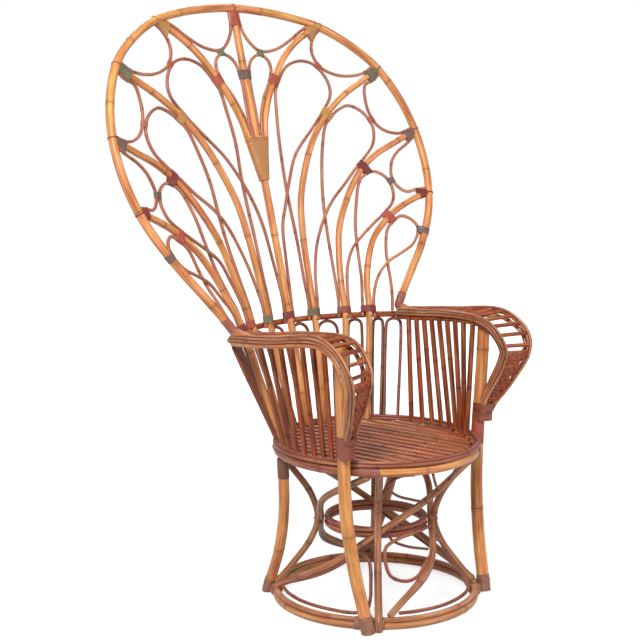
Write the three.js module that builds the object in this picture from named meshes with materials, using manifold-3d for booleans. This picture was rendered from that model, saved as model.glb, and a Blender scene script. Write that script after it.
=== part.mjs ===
// A peacock chair of bent cane: a tall fan back, two ladder arms, a round slatted seat and a drum base.
// Millimetres, +Z up, the sitter faces -Y. Pieces are drawn about the seat's centre line, x = y = 0, with
// the floor at z = 0, and the finished chair is then moved so that its box stands over the origin.
import * as THREE from "three";
import { mergeVertices } from "three/addons/utils/BufferGeometryUtils.js";
import Module from "manifold-3d";

const wasm = await Module();
wasm.setup();

// Clearances
const fitGap = 0.3; // between pieces that touch
const besideGap = 0.9; // between canes that lie side by side
const weld = 0.0001;
const overrun = 40; // how far a cutting block reaches past what it cuts

// Seat
const seatRadius = 255;
const seatPoleRadius = 12;
const seatPoleHeight = 395;
const rimThickness = 12.7;
const rimInnerWidth = 6;
const rimOuterWidth = 13;
const rimFlatWidth = 10;
const seatSlatPitch = 31.5;
const seatSlatWidth = 20;
const seatSlatTurn = 8; // degrees, as the slats lie askew in the seat
const seatSlatThickness = 7;
const seatBattenWidth = 18;
const seatBattenThickness = 8;
const seatBattenOffset = 136;
const battenBite = 0.6; // how deep the battens are let into the slats
const footSink = 12; // how deep the ribs, slats and arches reach into the rim's height

// Fan back
const railRise = 280; // from the seat's rim to where the fan starts
const fanRise = 822; // from there to the top of the hoop
const fanHalfWidth = 545;
const fanSetback = 68.7; // how far the fan's foot stands behind the seat's pole
const fanRecline = 15.25; // degrees
const bowHalfWidth = 500; // the half-width at which the two bow depths are given
const topBowDepth = 60;
const railBowDepth = 337;
const bowFadeHeight = 170; // in which the rail's extra bow falls to about a third
const hoopRadius = 11;
const centreRibRadius = 10;
const ribRadius = 9;
const caneRadius = 4.5;
const backRailRadius = 8;
const backRailDrop = 15;
const archClearance = 2;
const bindingHalfWidth = 41;
const bindingFootHalfWidth = 14;
const bindingHalfDepth = 12.5;

// Arms
const armSpread = 90; // how far the outer rail stands outside the post
const armOverhang = 102; // how far the arm's curl stands in front of the post
const armHeight = 311; // from the seat's rim to the arm's highest point
const postAngle = 27.5; // degrees forward of the side
const armRailWidth = 18;
const armRailThickness = 15;
const armPoleRadius = 7.5;
const armStartSetback = 7;
const rungRadius = 5.2;
const rungCount = 14;
const slatRadius = 6.8;
const weaveThickness = 5;
const wrapHeight = 44;
const wrapWall = 2.2;

// Legs and base
const legRadius = 16;
const backLegRadius = 14;
const footRingFlare = 5; // how far the foot ring stands outside the seat's pole
const footRingHalfWidth = 10;
const footRingHalfHeight = 15.5;
const waistRadius = 126;
const waistDrop = 2; // how far the waist lies under the middle of the base
const waistHalfWidth = 8;
const waistHalfHeight = 15;
const curvedPoleRadius = 8.5;
const turnedPoleRadius = 8;
const turnedSkew = 6; // degrees between a turned pole's end and the curved pole beside it
const poleCount = 4;
const firstPoleAngle = 45; // degrees
const trimRadius = 4;

const poleSides = 8;
const ribSides = 6;
const caneSides = 6;
const rungSides = 5;
const bindingSides = 16;
const ringSteps = 32;

// Worked out from the sizes above
const degrees = Math.PI / 180;
const looseFit = fitGap * 2;
const seatPoleTop = seatPoleHeight + seatPoleRadius;
const seatPoleFoot = seatPoleHeight - seatPoleRadius;
const rimFoundation = seatPoleTop + fitGap;
const rimTop = rimFoundation + rimThickness;
const railHeight = rimTop + railRise;
const railDepth = hoopRadius + backRailRadius + fitGap;
const railLevel = railHeight - backRailDrop;
const fanDepth = seatRadius + fanSetback;
const footRingRadius = seatRadius + footRingFlare;
const footRingTop = footRingHalfHeight * 2;
const waistHeight = (footRingTop + seatPoleFoot) / 2 - waistDrop;
const poleTurn = 360 / poleCount; // degrees

// Colours
const golden = new THREE.MeshStandardMaterial({ color: 0xd98a3e, roughness: 0.42, metalness: 0 });
const tawny = new THREE.MeshStandardMaterial({ color: 0xc07a3c, roughness: 0.45, metalness: 0 });
const russet = new THREE.MeshStandardMaterial({ color: 0xa05a38, roughness: 0.5, metalness: 0 });
const dark = new THREE.MeshStandardMaterial({ color: 0x8c4526, roughness: 0.5, metalness: 0 });
const straw = new THREE.MeshStandardMaterial({ color: 0xc8964c, roughness: 0.6, metalness: 0 });

const chair = new THREE.Group();

function solid(geometry) {
  const bare = geometry.clone();
  bare.deleteAttribute("normal");
  bare.deleteAttribute("uv");
  const joined = mergeVertices(bare, weld);
  const triVerts = new Uint32Array(joined.index.array);
  return new wasm.Manifold(
    new wasm.Mesh({ numProp: 3, vertProperties: joined.attributes.position.array, triVerts }),
  );
}

function geometryOf(body) {
  const mesh = body.getMesh();
  const geometry = new THREE.BufferGeometry();
  geometry.setAttribute("position", new THREE.BufferAttribute(mesh.vertProperties, mesh.numProp));
  geometry.setIndex(new THREE.BufferAttribute(mesh.triVerts, 1));
  geometry.computeVertexNormals();
  return geometry;
}

// A cut can leave a crumb behind: the piece itself is the largest body.
function largest(body) {
  return body.decompose().sort((a, b) => b.volume() - a.volume())[0];
}

function add(name, shape, material) {
  const geometry = shape.isBufferGeometry ? shape : geometryOf(shape);
  const mesh = new THREE.Mesh(geometry, material);
  mesh.name = name;
  chair.add(mesh);
  return mesh;
}

function smooth(points) {
  return new THREE.CatmullRomCurve3(points, false, "centripetal");
}

function section(halfWidth, halfDepth, sides) {
  const points = [];
  for (let i = 0; i < sides; i++) {
    const turn = ((i + 1 / 2) / sides) * 2 * Math.PI;
    points.push(new THREE.Vector2(halfWidth * Math.cos(turn), halfDepth * Math.sin(turn)));
  }
  return new THREE.Shape(points);
}

function tube(curve, radius, sides, steps) {
  return new THREE.ExtrudeGeometry(section(radius, radius, sides), {
    steps,
    extrudePath: curve,
    bevelEnabled: false,
  });
}

// A straight round stick between two points.
function stick(from, to, radius, sides) {
  return tube(new THREE.LineCurve3(from, to), radius, sides, 1);
}

// A ring about the chair's centre line, with one flat side of its oval section facing down.
function ring(radius, height, halfWidth, halfHeight) {
  const profile = [];
  const corner = 1 / Math.cos(Math.PI / poleSides);
  for (let i = 0; i <= poleSides; i++) {
    const turn = ((i + 1 / 2) / poleSides) * 2 * Math.PI;
    const x = radius + corner * halfWidth * Math.cos(turn);
    profile.push(new THREE.Vector2(x, height + corner * halfHeight * Math.sin(turn)));
  }
  return lathe(profile);
}

function lathe(profile) {
  const geometry = new THREE.LatheGeometry(profile, ringSteps);
  geometry.rotateX(Math.PI / 2);
  return geometry;
}

function mirrored(point) {
  return new THREE.Vector3(-point.x, point.y, point.z);
}

function polar(radius, angle, height) {
  return new THREE.Vector3(radius * Math.cos(angle * degrees), radius * Math.sin(angle * degrees), height);
}

// A wall, wider at the top than at the foot, drawn round a centre line that may lean.
function sleeve(foot, head, footHalves, headHalves, sides) {
  const height = head.z - foot.z;
  const geometry = new THREE.CylinderGeometry(1, 1, height, sides);
  geometry.rotateX(Math.PI / 2);
  const place = geometry.attributes.position;
  for (let i = 0; i < place.count; i++) {
    const share = place.getZ(i) / height + 1 / 2;
    const centre = foot.clone().lerp(head, share);
    const halves = footHalves.clone().lerp(headHalves, share);
    place.setXYZ(i, centre.x + place.getX(i) * halves.x, centre.y + place.getY(i) * halves.y, centre.z);
  }
  return solid(geometry);
}

// The floor-parallel block that trims everything below a height.
function blockBelow(height) {
  const reach = 2 * (fanHalfWidth + overrun);
  const block = new THREE.BoxGeometry(reach, reach, height + overrun);
  block.translate(0, 0, (height - overrun) / 2);
  return solid(block);
}

function floorBlock() {
  const reach = 2 * (fanHalfWidth + overrun);
  const block = new THREE.BoxGeometry(reach, reach, overrun);
  block.translate(0, 0, -overrun / 2);
  return solid(block);
}

const belowRim = blockBelow(rimTop + fitGap);
const belowFloor = floorBlock();

// The fan is a leaning sheet that bows forward at its sides, most of all near its foot.
function fanBow(height) {
  const share = Math.exp(-Math.max(height - railHeight, 0) / bowFadeHeight);
  return (topBowDepth + (railBowDepth - topBowDepth) * share) / bowHalfWidth ** 2;
}

function fanPoint(x, height, lift) {
  const slope = 2 * fanBow(height) * x;
  const out = new THREE.Vector2(slope, 1).normalize();
  const y = fanDepth + Math.tan(fanRecline * degrees) * (height - railHeight) - fanBow(height) * x * x;
  return new THREE.Vector3(x - lift * out.x, y - lift * out.y, height);
}

// Below the rail a sheet of straight lines runs from the fan to the seat's rim. Each entry pairs a
// share of the fan's half-width with the angle round the rim, from straight behind, that it runs to.
const gateShares = [[0, 0], [0.154, 13], [0.316, 27], [0.429, 41], [0.502, 50.5], [0.575, 61]];

function gateAngle(share) {
  let i = 1;
  while (i < gateShares.length - 1 && gateShares[i][0] < share) i++;
  const [fromShare, fromAngle] = gateShares[i - 1];
  const [toShare, toAngle] = gateShares[i];
  return fromAngle + ((toAngle - fromAngle) * (share - fromShare)) / (toShare - fromShare);
}

function rimFoot(angle) {
  return polar(seatRadius, 90 - angle, rimTop - footSink);
}

function curtain(share, angle, height, lift) {
  const head = fanPoint(share * fanHalfWidth, railHeight, 0);
  const foot = rimFoot(angle);
  const out = new THREE.Vector2(2 * fanBow(railHeight) * head.x, 1).normalize();
  const point = head.lerp(foot, (railHeight - height) / (railHeight - foot.z));
  return new THREE.Vector3(point.x - lift * out.x, point.y - lift * out.y, height);
}

function fanAt([xShare, heightShare, lift = 0]) {
  const height = railHeight + heightShare * fanRise;
  if (heightShare < 0) return curtain(xShare, gateAngle(xShare), height, lift);
  return fanPoint(xShare * fanHalfWidth, height, lift);
}

// Hoop
const hoopShares = [
  [0, 1], [0.233, 0.99], [0.394, 0.973], [0.541, 0.948], [0.723, 0.886], [0.862, 0.808],
  [0.958, 0.698], [1, 0.594], [1.002, 0.482], [0.971, 0.387], [0.912, 0.302], [0.807, 0.203],
  [0.716, 0.134], [0.633, 0.071], [0.58, 0.029], [0.56, 0], [0.556, -0.015],
];
const hoopHalf = hoopShares.map(fanAt);
const hoopCurve = smooth([...hoopHalf.slice(1).reverse().map(mirrored), ...hoopHalf]);
const hoopSteps = 38;
const hoopRoom = solid(tube(hoopCurve, hoopRadius + fitGap, poleSides, hoopSteps));
add("hoop", solid(tube(hoopCurve, hoopRadius, poleSides, hoopSteps)), golden);
const hoopFoot = hoopHalf[hoopHalf.length - 2];

// Ribs, from the hoop down to the rail, then straight to their feet on the seat's rim
const ribShares = [
  [[0, 1], [0, 0.8], [0, 0.5], [0, 0.2], [0, 0]],
  [[0.541, 0.949], [0.411, 0.909], [0.29, 0.849], [0.196, 0.774], [0.118, 0.693], [0.075, 0.627],
    [0.057, 0.573], [0.04, 0.529]],
  [[0.862, 0.807], [0.75, 0.764], [0.611, 0.713], [0.486, 0.651], [0.369, 0.568], [0.279, 0.47],
    [0.212, 0.365], [0.182, 0.251], [0.165, 0.109], [0.154, 0]],
  [[1, 0.591], [0.866, 0.551], [0.723, 0.507], [0.598, 0.445], [0.483, 0.352], [0.407, 0.265],
    [0.365, 0.172], [0.332, 0.068], [0.316, 0]],
  [[0.969, 0.377], [0.881, 0.359], [0.767, 0.325], [0.695, 0.294], [0.591, 0.236], [0.517, 0.161],
    [0.466, 0.082], [0.429, 0]],
];
const ribFootAngles = [0, null, 13, 27, 41]; // degrees round the rim from straight behind
const ribSteps = [8, 10, 15, 14, 13];

const ribCurves = ribShares.map((shares, i) => {
  const points = shares.map(fanAt);
  if (ribFootAngles[i] !== null) points.push(rimFoot(ribFootAngles[i]));
  return smooth(points);
});
const sideCurves = [...ribCurves, smooth(hoopHalf)];
const sideRadii = [centreRibRadius, ribRadius, ribRadius, ribRadius, ribRadius, hoopRadius];
const hoopSide = sideRadii.length - 1; // the hoop counts as the outermost of the ribs

// The point of a falling curve at a height, and its direction there.
const halvings = 24;
function curveAtHeight(curve, height) {
  let upper = 0;
  let lower = 1;
  for (let i = 0; i < halvings; i++) {
    const middle = (upper + lower) / 2;
    if (curve.getPoint(middle).z > height) upper = middle;
    else lower = middle;
  }
  return { point: curve.getPoint(upper), direction: curve.getTangent(upper) };
}

// A point beside a rib: side 1 is away from the chair's middle, side -1 towards it.
function beside(rib, heightShare, side, lift = 0) {
  const height = railHeight + heightShare * fanRise;
  const { point, direction } = curveAtHeight(sideCurves[rib], height);
  const apart = side * (sideRadii[rib] + caneRadius + besideGap);
  const across = new THREE.Vector2(-direction.z, direction.x).normalize();
  const place = fanPoint(point.x, point.z, 0);
  const shift = point.clone().sub(place);
  return fanPoint(point.x + apart * across.x, point.z + apart * across.y, lift).add(shift);
}

function routePoint(entry) {
  return entry.rib === undefined ? fanAt(entry) : beside(entry.rib, entry.at, entry.side, entry.lift);
}

function onRib(rib, at, side, lift = 0) {
  return { rib, at, side, lift };
}

function bothSides(name, points, radius, sides, steps, material, finish) {
  for (const [word, turn] of [["left", false], ["right", true]]) {
    const route = turn ? points.map((point) => point.clone()) : points.map(mirrored);
    add(name + "_" + word, finish(solid(tube(smooth(route), radius, sides, steps)), turn), material);
  }
}

const ribNames = ["rib_centre", "rib_crown", "rib_upper", "rib_middle", "rib_lower"];
const centreRib = solid(tube(ribCurves[0], centreRibRadius, ribSides, ribSteps[0]));
const centreRoom = solid(tube(ribCurves[0], centreRibRadius + fitGap, ribSides, ribSteps[0]));
const ribRooms = [centreRoom];
add(ribNames[0], centreRib.subtract(hoopRoom).subtract(belowRim), golden);
for (let i = 1; i < ribShares.length; i++) {
  const trim = (body) => body.subtract(hoopRoom).subtract(i === 1 ? centreRoom : belowRim);
  bothSides(ribNames[i], ribCurves[i].points, ribRadius, ribSides, ribSteps[i], golden, trim);
  const rooms = [mirrored, (point) => point].map((turn) =>
    solid(tube(smooth(ribCurves[i].points.map(turn)), ribRadius + fitGap, ribSides, ribSteps[i])));
  ribRooms.push(rooms[0].add(rooms[1]));
}

// Scallops hang from the hoop between two ribs.
const railShare = -0.024; // of the fan's rise, level with the rail
const against = caneRadius - hoopRadius; // lies back against the rail
const over = caneRadius + fitGap; // passes in front at a crossing
const scallopRoutes = [
  [onRib(0, 0.995, 1), [0.034, 0.935], [0.055, 0.905], [0.09, 0.878], [0.134, 0.861], [0.239, 0.869],
    onRib(1, 0.89, -1), onRib(1, 0.915, -1), onRib(1, 0.936, -1)],
  [[0.572, 0.938], [0.512, 0.919], [0.474, 0.886], [0.47, 0.849], [0.506, 0.81], [0.593, 0.785],
    [0.688, 0.781], onRib(2, 0.777, -1), onRib(2, 0.8, -1)],
  [[0.883, 0.783], [0.828, 0.767], onRib(2, 0.764, 1), [0.747, 0.707], [0.75, 0.657], [0.782, 0.612],
    [0.829, 0.59], onRib(3, 0.566, -1), [0.995, 0.614]],
  [[1, 0.56], [0.93, 0.543], [0.862, 0.517], [0.815, 0.484], [0.79, 0.43], [0.81, 0.397],
    [0.85, 0.381], [0.905, 0.388], [0.97, 0.404]],
];
const scallopSteps = 10;
const trimAtHoop = (body) => body.subtract(hoopRoom);
scallopRoutes.forEach((route, i) => {
  const points = route.map(routePoint);
  bothSides("scallop_" + (i + 1), points, caneRadius, caneSides, scallopSteps, russet, trimAtHoop);
});

// Petals: each is one long cane, bent over at its top, whose two legs cross on the way down.
const petalRoutes = [
  [onRib(0, 0.585, 1), onRib(0, 0.66, 1), onRib(0, 0.77, 1), [0.044, 0.815], [0.078, 0.84], [0.134, 0.849],
    [0.176, 0.826], onRib(1, 0.775, -1), onRib(1, 0.7, -1), onRib(1, 0.655, -1)],
  [onRib(0, railShare, 1, against), onRib(0, 0.055, 1), [0.046, 0.189], [0.066, 0.291],
    [0.101, 0.355, over], [0.156, 0.434, over], [0.239, 0.521], [0.369, 0.6], onRib(2, 0.66, -1),
    [0.532, 0.715],
    [0.534, 0.759], [0.475, 0.815], [0.387, 0.831], [0.288, 0.813], onRib(1, 0.785, 1),
    onRib(1, 0.745, 1), [0.167, 0.669], [0.147, 0.566], [0.143, 0.45, -over], [0.141, 0.38, -over],
    [0.138, 0.243], [0.134, 0.122], onRib(2, 0.03, -1), onRib(2, railShare, -1, against)],
  [onRib(2, railShare, 1, against), onRib(2, 0.04, 1), [0.211, 0.133], [0.255, 0.219], [0.327, 0.304, over],
    [0.398, 0.359, over], [0.505, 0.415], onRib(3, 0.452, -1), onRib(3, 0.485, -1), [0.732, 0.548],
    [0.754, 0.605], [0.716, 0.653], [0.635, 0.679], [0.569, 0.667], onRib(2, 0.655, 1),
    onRib(2, 0.625, 1), [0.42, 0.547], [0.376, 0.445], [0.352, 0.341, -over], [0.338, 0.255, -over],
    [0.317, 0.136], onRib(3, 0.03, -1), onRib(3, railShare, -1, against)],
  [onRib(3, railShare, 1, against), onRib(3, 0.055, 1), [0.398, 0.142], [0.451, 0.202, over],
    [0.517, 0.238, over], [0.62, 0.284], onRib(4, 0.302, -1), [0.758, 0.355], [0.774, 0.401],
    [0.752, 0.434], [0.69, 0.453], onRib(3, 0.45, 1), onRib(3, 0.425, 1), [0.541, 0.342],
    [0.505, 0.263, -over], [0.478, 0.18, -over], [0.449, 0.1], onRib(4, 0.045, -1),
    onRib(4, railShare, -1, against)],
  [onRib(4, railShare, 1, against), onRib(4, 0.05, 1), [0.539, 0.109], [0.609, 0.152, over],
    [0.705, 0.184, over], [0.77, 0.207], onRib(hoopSide, 0.245, -1), [0.818, 0.285], [0.77, 0.3],
    onRib(4, 0.286, 1), [0.664, 0.249], [0.631, 0.195, -over], [0.606, 0.141, -over],
    [0.583, 0.091], onRib(hoopSide, 0.03, -1), onRib(hoopSide, -0.012, -1)],
];
const petalSteps = [12, 34, 32, 24, 20];
const petalCopes = [1, null, 2, 3, null]; // the rib that a petal is hollowed to fitGap, if any
petalRoutes.forEach((route, i) => {
  const points = route.map(routePoint);
  const cope = (body) => (petalCopes[i] === null ? body : body.subtract(ribRooms[petalCopes[i]]));
  bothSides("petal_" + (i + 1), points, caneRadius, caneSides, petalSteps[i], russet, cope);
});

// The tapered binding where the crown ribs and first petals close in on the centre rib
const bindingTopShare = 0.575;
const bindingFootShare = 0.435;
const bindingHead = fanAt([0, bindingTopShare]);
const bindingFoot = fanAt([0, bindingFootShare]);
let binding = sleeve(
  bindingFoot,
  bindingHead,
  new THREE.Vector2(bindingFootHalfWidth, bindingHalfDepth),
  new THREE.Vector2(bindingHalfWidth, bindingHalfDepth),
  bindingSides,
);
binding = binding.subtract(centreRoom);
for (const turn of [mirrored, (point) => point]) {
  const crown = smooth(ribCurves[1].points.map(turn));
  const petal = smooth(petalRoutes[0].map(routePoint).map(turn));
  binding = binding.subtract(solid(tube(crown, ribRadius + fitGap, ribSides, ribSteps[1])));
  binding = binding.subtract(solid(tube(petal, caneRadius + fitGap, caneSides, petalSteps[0])));
}
add("centre_binding", largest(binding), straw);

// Rail and arches
const archRibs = [centreRibRadius, ribRadius, ribRadius, ribRadius, 0, 0]; // what stands at each gate line
const railShares = [0, 0.1, 0.2, 0.3, 0.4, 0.48, 0.53, 0.566];
const railHalf = railShares.map((share) => curtain(share, gateAngle(share), railLevel, -railDepth));
const railCurve = smooth([...railHalf.slice(1).reverse().map(mirrored), ...railHalf]);
const railSteps = 24;
let backRail = solid(tube(railCurve, backRailRadius, poleSides, railSteps));
const archStops = [0, 0.07, 0.25, 0.5, 0.75, 0.93, 1];
const archSteps = 12;
const archTop = railLevel - backRailRadius - caneRadius + archClearance;
const archFoot = rimTop - footSink;
for (let i = 1; i < gateShares.length; i++) {
  const [near, far] = [gateShares[i - 1], gateShares[i]];
  const aside = [archRibs[i - 1], archRibs[i]].map((radius) =>
    radius ? radius + caneRadius + besideGap : caneRadius);
  const from = [near[0] + aside[0] / fanHalfWidth, near[1] + aside[0] / seatRadius / degrees];
  const to = [far[0] - aside[1] / fanHalfWidth, far[1] - aside[1] / seatRadius / degrees];
  const rise = ((to[0] - from[0]) * fanHalfWidth) / 2;
  const spot = (across, height) => curtain(
    from[0] + (to[0] - from[0]) * across,
    from[1] + (to[1] - from[1]) * across,
    height,
    (-railDepth * (height - archFoot)) / (railLevel - archFoot),
  );
  const points = [spot(0, archFoot)];
  for (const across of archStops) {
    const bend = Math.sqrt(1 - (2 * across - 1) ** 2);
    points.push(spot(across, archTop - rise * (1 - bend)));
  }
  points.push(spot(1, archFoot));
  for (const turn of [mirrored, (point) => point]) {
    const cane = solid(tube(smooth(points.map(turn)), caneRadius, caneSides, archSteps));
    backRail = backRail.add(cane.subtract(belowRim));
  }
}
add("back_rail", backRail.subtract(hoopRoom), russet);

// Seat
add("seat_ring", ring(seatRadius, seatPoleHeight, seatPoleRadius, seatPoleRadius), golden);
add("seat_rim", lathe([
  new THREE.Vector2(seatRadius - rimInnerWidth, rimFoundation),
  new THREE.Vector2(seatRadius + rimOuterWidth, rimFoundation),
  new THREE.Vector2(seatRadius + rimOuterWidth, rimFoundation + rimThickness / 2),
  new THREE.Vector2(seatRadius + rimFlatWidth, rimTop),
  new THREE.Vector2(seatRadius - rimInnerWidth, rimTop),
  new THREE.Vector2(seatRadius - rimInnerWidth, rimFoundation),
]), russet);

const facetShare = Math.cos(Math.PI / ringSteps); // a faceted ring's inner reach
const slatEnd = (seatRadius - rimInnerWidth) * facetShare - fitGap;
const poleInner = seatPoleRadius / Math.cos(Math.PI / poleSides); // to a corner of its section
const battenEnd = (seatRadius - poleInner) * facetShare - fitGap;
const slatsAside = Math.floor((battenEnd - seatSlatWidth / 2) / seatSlatPitch);
let seatSlats = null;
for (let i = -slatsAside; i <= slatsAside; i++) {
  const x = i * seatSlatPitch;
  const corner = Math.abs(x) + seatSlatWidth / 2;
  const half = Math.sqrt(slatEnd ** 2 - corner ** 2);
  const slat = new THREE.BoxGeometry(seatSlatWidth, 2 * half, seatSlatThickness);
  slat.translate(x, 0, rimFoundation + seatSlatThickness / 2);
  const body = solid(slat);
  seatSlats = seatSlats ? seatSlats.add(body) : body;
}
for (const row of [-1, 0, 1]) {
  const y = row * seatBattenOffset;
  const half = Math.sqrt(battenEnd ** 2 - (Math.abs(y) + seatBattenWidth / 2) ** 2);
  const batten = new THREE.BoxGeometry(2 * half, seatBattenWidth, seatBattenThickness);
  batten.translate(0, y, rimFoundation - seatBattenThickness / 2 + battenBite);
  seatSlats = seatSlats.add(solid(batten));
}
add("seat_slats", seatSlats.rotate([0, 0, seatSlatTurn]), dark);

// Arms. An entry is three shares from the front post's place at the rim: of the arm's spread outwards,
// of its overhang backwards, and of its height.
const outerRailShares = [
  [1.011, 2.032, 0.934], [1, 1.281, 0.96], [0.932, 0.781, 0.984], [0.901, 0.258, 1],
  [0.943, -0.129, 0.991], [0.977, -0.538, 0.932], [1, -0.811, 0.859], [0.962, -0.971, 0.76],
  [0.878, -0.993, 0.683], [0.788, -0.937, 0.6], [0.666, -0.816, 0.513], [0.545, -0.689, 0.427],
  [0.401, -0.532, 0.33], [0.285, -0.36, 0.241], [0.2, -0.27, 0.166],
];
const innerRailShares = [
  [0.212, 2.145, 0.929], [0.079, 1.554, 0.953], [-0.035, 0.94, 0.969], [-0.137, 0.326, 0.976],
  [-0.129, -0.084, 0.962], [-0.091, -0.357, 0.929], [-0.061, -0.538, 0.885], [-0.031, -0.709, 0.819],
  [-0.008, -0.816, 0.756], [0.022, -0.857, 0.694], [0.011, -0.807, 0.624], [-0.011, -0.699, 0.53],
  [-0.041, -0.564, 0.443], [-0.062, -0.413, 0.354], [-0.09, -0.284, 0.26], [-0.113, -0.241, 0.166],
];
const post = polar(seatRadius + seatPoleRadius + legRadius, -postAngle, rimTop);

function armAt([outShare, backShare, riseShare]) {
  const out = post.x + outShare * armSpread;
  return new THREE.Vector3(out, post.y + backShare * armOverhang, rimTop + riseShare * armHeight);
}

const hoopFlank = hoopRadius + armRailWidth / 2 + looseFit;
const outerStart = new THREE.Vector3(hoopFoot.x + hoopFlank, hoopFoot.y - armStartSetback, hoopFoot.z);
const innerStart = new THREE.Vector3(hoopFoot.x - hoopFlank, hoopFoot.y - armStartSetback, hoopFoot.z);
const outerPoints = [outerStart, ...outerRailShares.map(armAt)];
const innerPoints = [innerStart, ...innerRailShares.map(armAt)];
const armRailSteps = 24;

// An arm rail is broader than it is thick: it is drawn narrow and then widened across the chair.
function armRail(points, grow = 0) {
  const half = armRailThickness / 2 + grow;
  const wide = (armRailWidth / 2 + grow) / half;
  const narrow = points.map((point) => new THREE.Vector3(point.x / wide, point.y, point.z));
  const geometry = tube(smooth(narrow), half, poleSides, armRailSteps);
  geometry.scale(wide, 1, 1);
  geometry.translate(0, 0, -grow);
  return solid(geometry);
}

const joinShare = 0.88; // of the distance at which a rail and the pole under it would just touch
const poleDrop = armRailThickness / 2 + armPoleRadius;
const poleStartShare = 0.03;
const outerPoleEndShare = 0.44;
const innerPoleEndShare = 0.505;
const underPoleSteps = 8;

// The pole that runs under the level part of a rail
function underPole(points, endShare, drop) {
  const rail = smooth(points);
  const route = [];
  const stops = 6;
  for (let i = 0; i <= stops; i++) {
    const share = poleStartShare + ((endShare - poleStartShare) * i) / stops;
    const point = rail.getPointAt(share);
    route.push(new THREE.Vector3(point.x, point.y, point.z - drop));
  }
  return smooth(route);
}

// A front leg stands against the outside of the seat's pole. An entry is the angle forward of the side,
// a share of the way out from the pole's centre line to the leg's, and a height: a share of the arm's
// height over the seat's rim, or with a minus of the way down to the floor.
const frontLegShares = [
  [26.4, 1.563, 0.948], [26.7, 1.393, 0.577], [27.2, 1.16, 0.248], [27.4, 1.019, 0.006],
  [27.6, 0.976, -0.13], [28.7, 0.892, -0.346], [31, 0.877, -0.523], [33.7, 0.933, -0.69],
  [37.3, 1.076, -0.857], [40.05, 1.234, -1], [40.9, 1.279, -1.035],
];
const frontLegPoints = frontLegShares.map(([angle, outShare, riseShare]) => polar(
  seatRadius + outShare * (seatPoleRadius + legRadius),
  -angle,
  rimTop + riseShare * (riseShare > 0 ? armHeight : rimTop),
));
const legSteps = 12;
const slatFootAngles = [69, 76.5, 83.5, 90.5, 97.5, 103.5, 108.5, 112.5, 116]; // as the ribs'
const slatHeadShares = [0.1, 0.975]; // of the length of the pole under the inner rail
const rungShares = [0.06, 0.69]; // of the rails' length
const weaveShares = [0.72, 0.95];
const weaveStations = 6;
const seatRoom = solid(ring(seatRadius, seatPoleHeight, seatPoleRadius + fitGap, seatPoleRadius + fitGap));
const rimRoom = solid(lathe([
  new THREE.Vector2(seatRadius - rimInnerWidth - fitGap, rimFoundation - fitGap),
  new THREE.Vector2(seatRadius + rimOuterWidth + fitGap, rimFoundation - fitGap),
  new THREE.Vector2(seatRadius + rimOuterWidth + fitGap, rimTop + fitGap),
  new THREE.Vector2(seatRadius - rimInnerWidth - fitGap, rimTop + fitGap),
  new THREE.Vector2(seatRadius - rimInnerWidth - fitGap, rimFoundation - fitGap),
]));
const footRingRoom = solid(
  ring(footRingRadius, footRingHalfHeight, footRingHalfWidth + fitGap, footRingHalfHeight + fitGap),
);

// A flat strip woven between the two rails of one arm
function weave(inner, outer) {
  const corners = [];
  const normal = new THREE.Vector3();
  const inset = armRailWidth / 2 + looseFit;
  for (let i = 0; i <= weaveStations; i++) {
    const share = weaveShares[0] + ((weaveShares[1] - weaveShares[0]) * i) / weaveStations;
    const from = inner.getPointAt(share);
    const to = outer.getPointAt(share);
    const across = to.clone().sub(from).normalize();
    const along = inner.getTangentAt(share);
    normal.crossVectors(across, along).normalize().multiplyScalar(weaveThickness / 2);
    from.addScaledVector(across, inset);
    to.addScaledVector(across, -inset);
    corners.push(from.clone().add(normal), to.clone().add(normal));
    corners.push(to.clone().sub(normal), from.clone().sub(normal));
  }
  const faces = [0, 2, 1, 0, 3, 2];
  const last = weaveStations * 4;
  faces.push(last, last + 1, last + 2, last, last + 2, last + 3);
  for (let i = 0; i < weaveStations; i++) {
    for (let j = 0; j < 4; j++) {
      const a = i * 4 + j;
      const b = i * 4 + ((j + 1) % 4);
      faces.push(a, b, a + 4, b, b + 4, a + 4);
    }
  }
  const geometry = new THREE.BufferGeometry().setFromPoints(corners);
  geometry.setIndex(faces);
  geometry.computeVertexNormals();
  return geometry;
}

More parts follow.
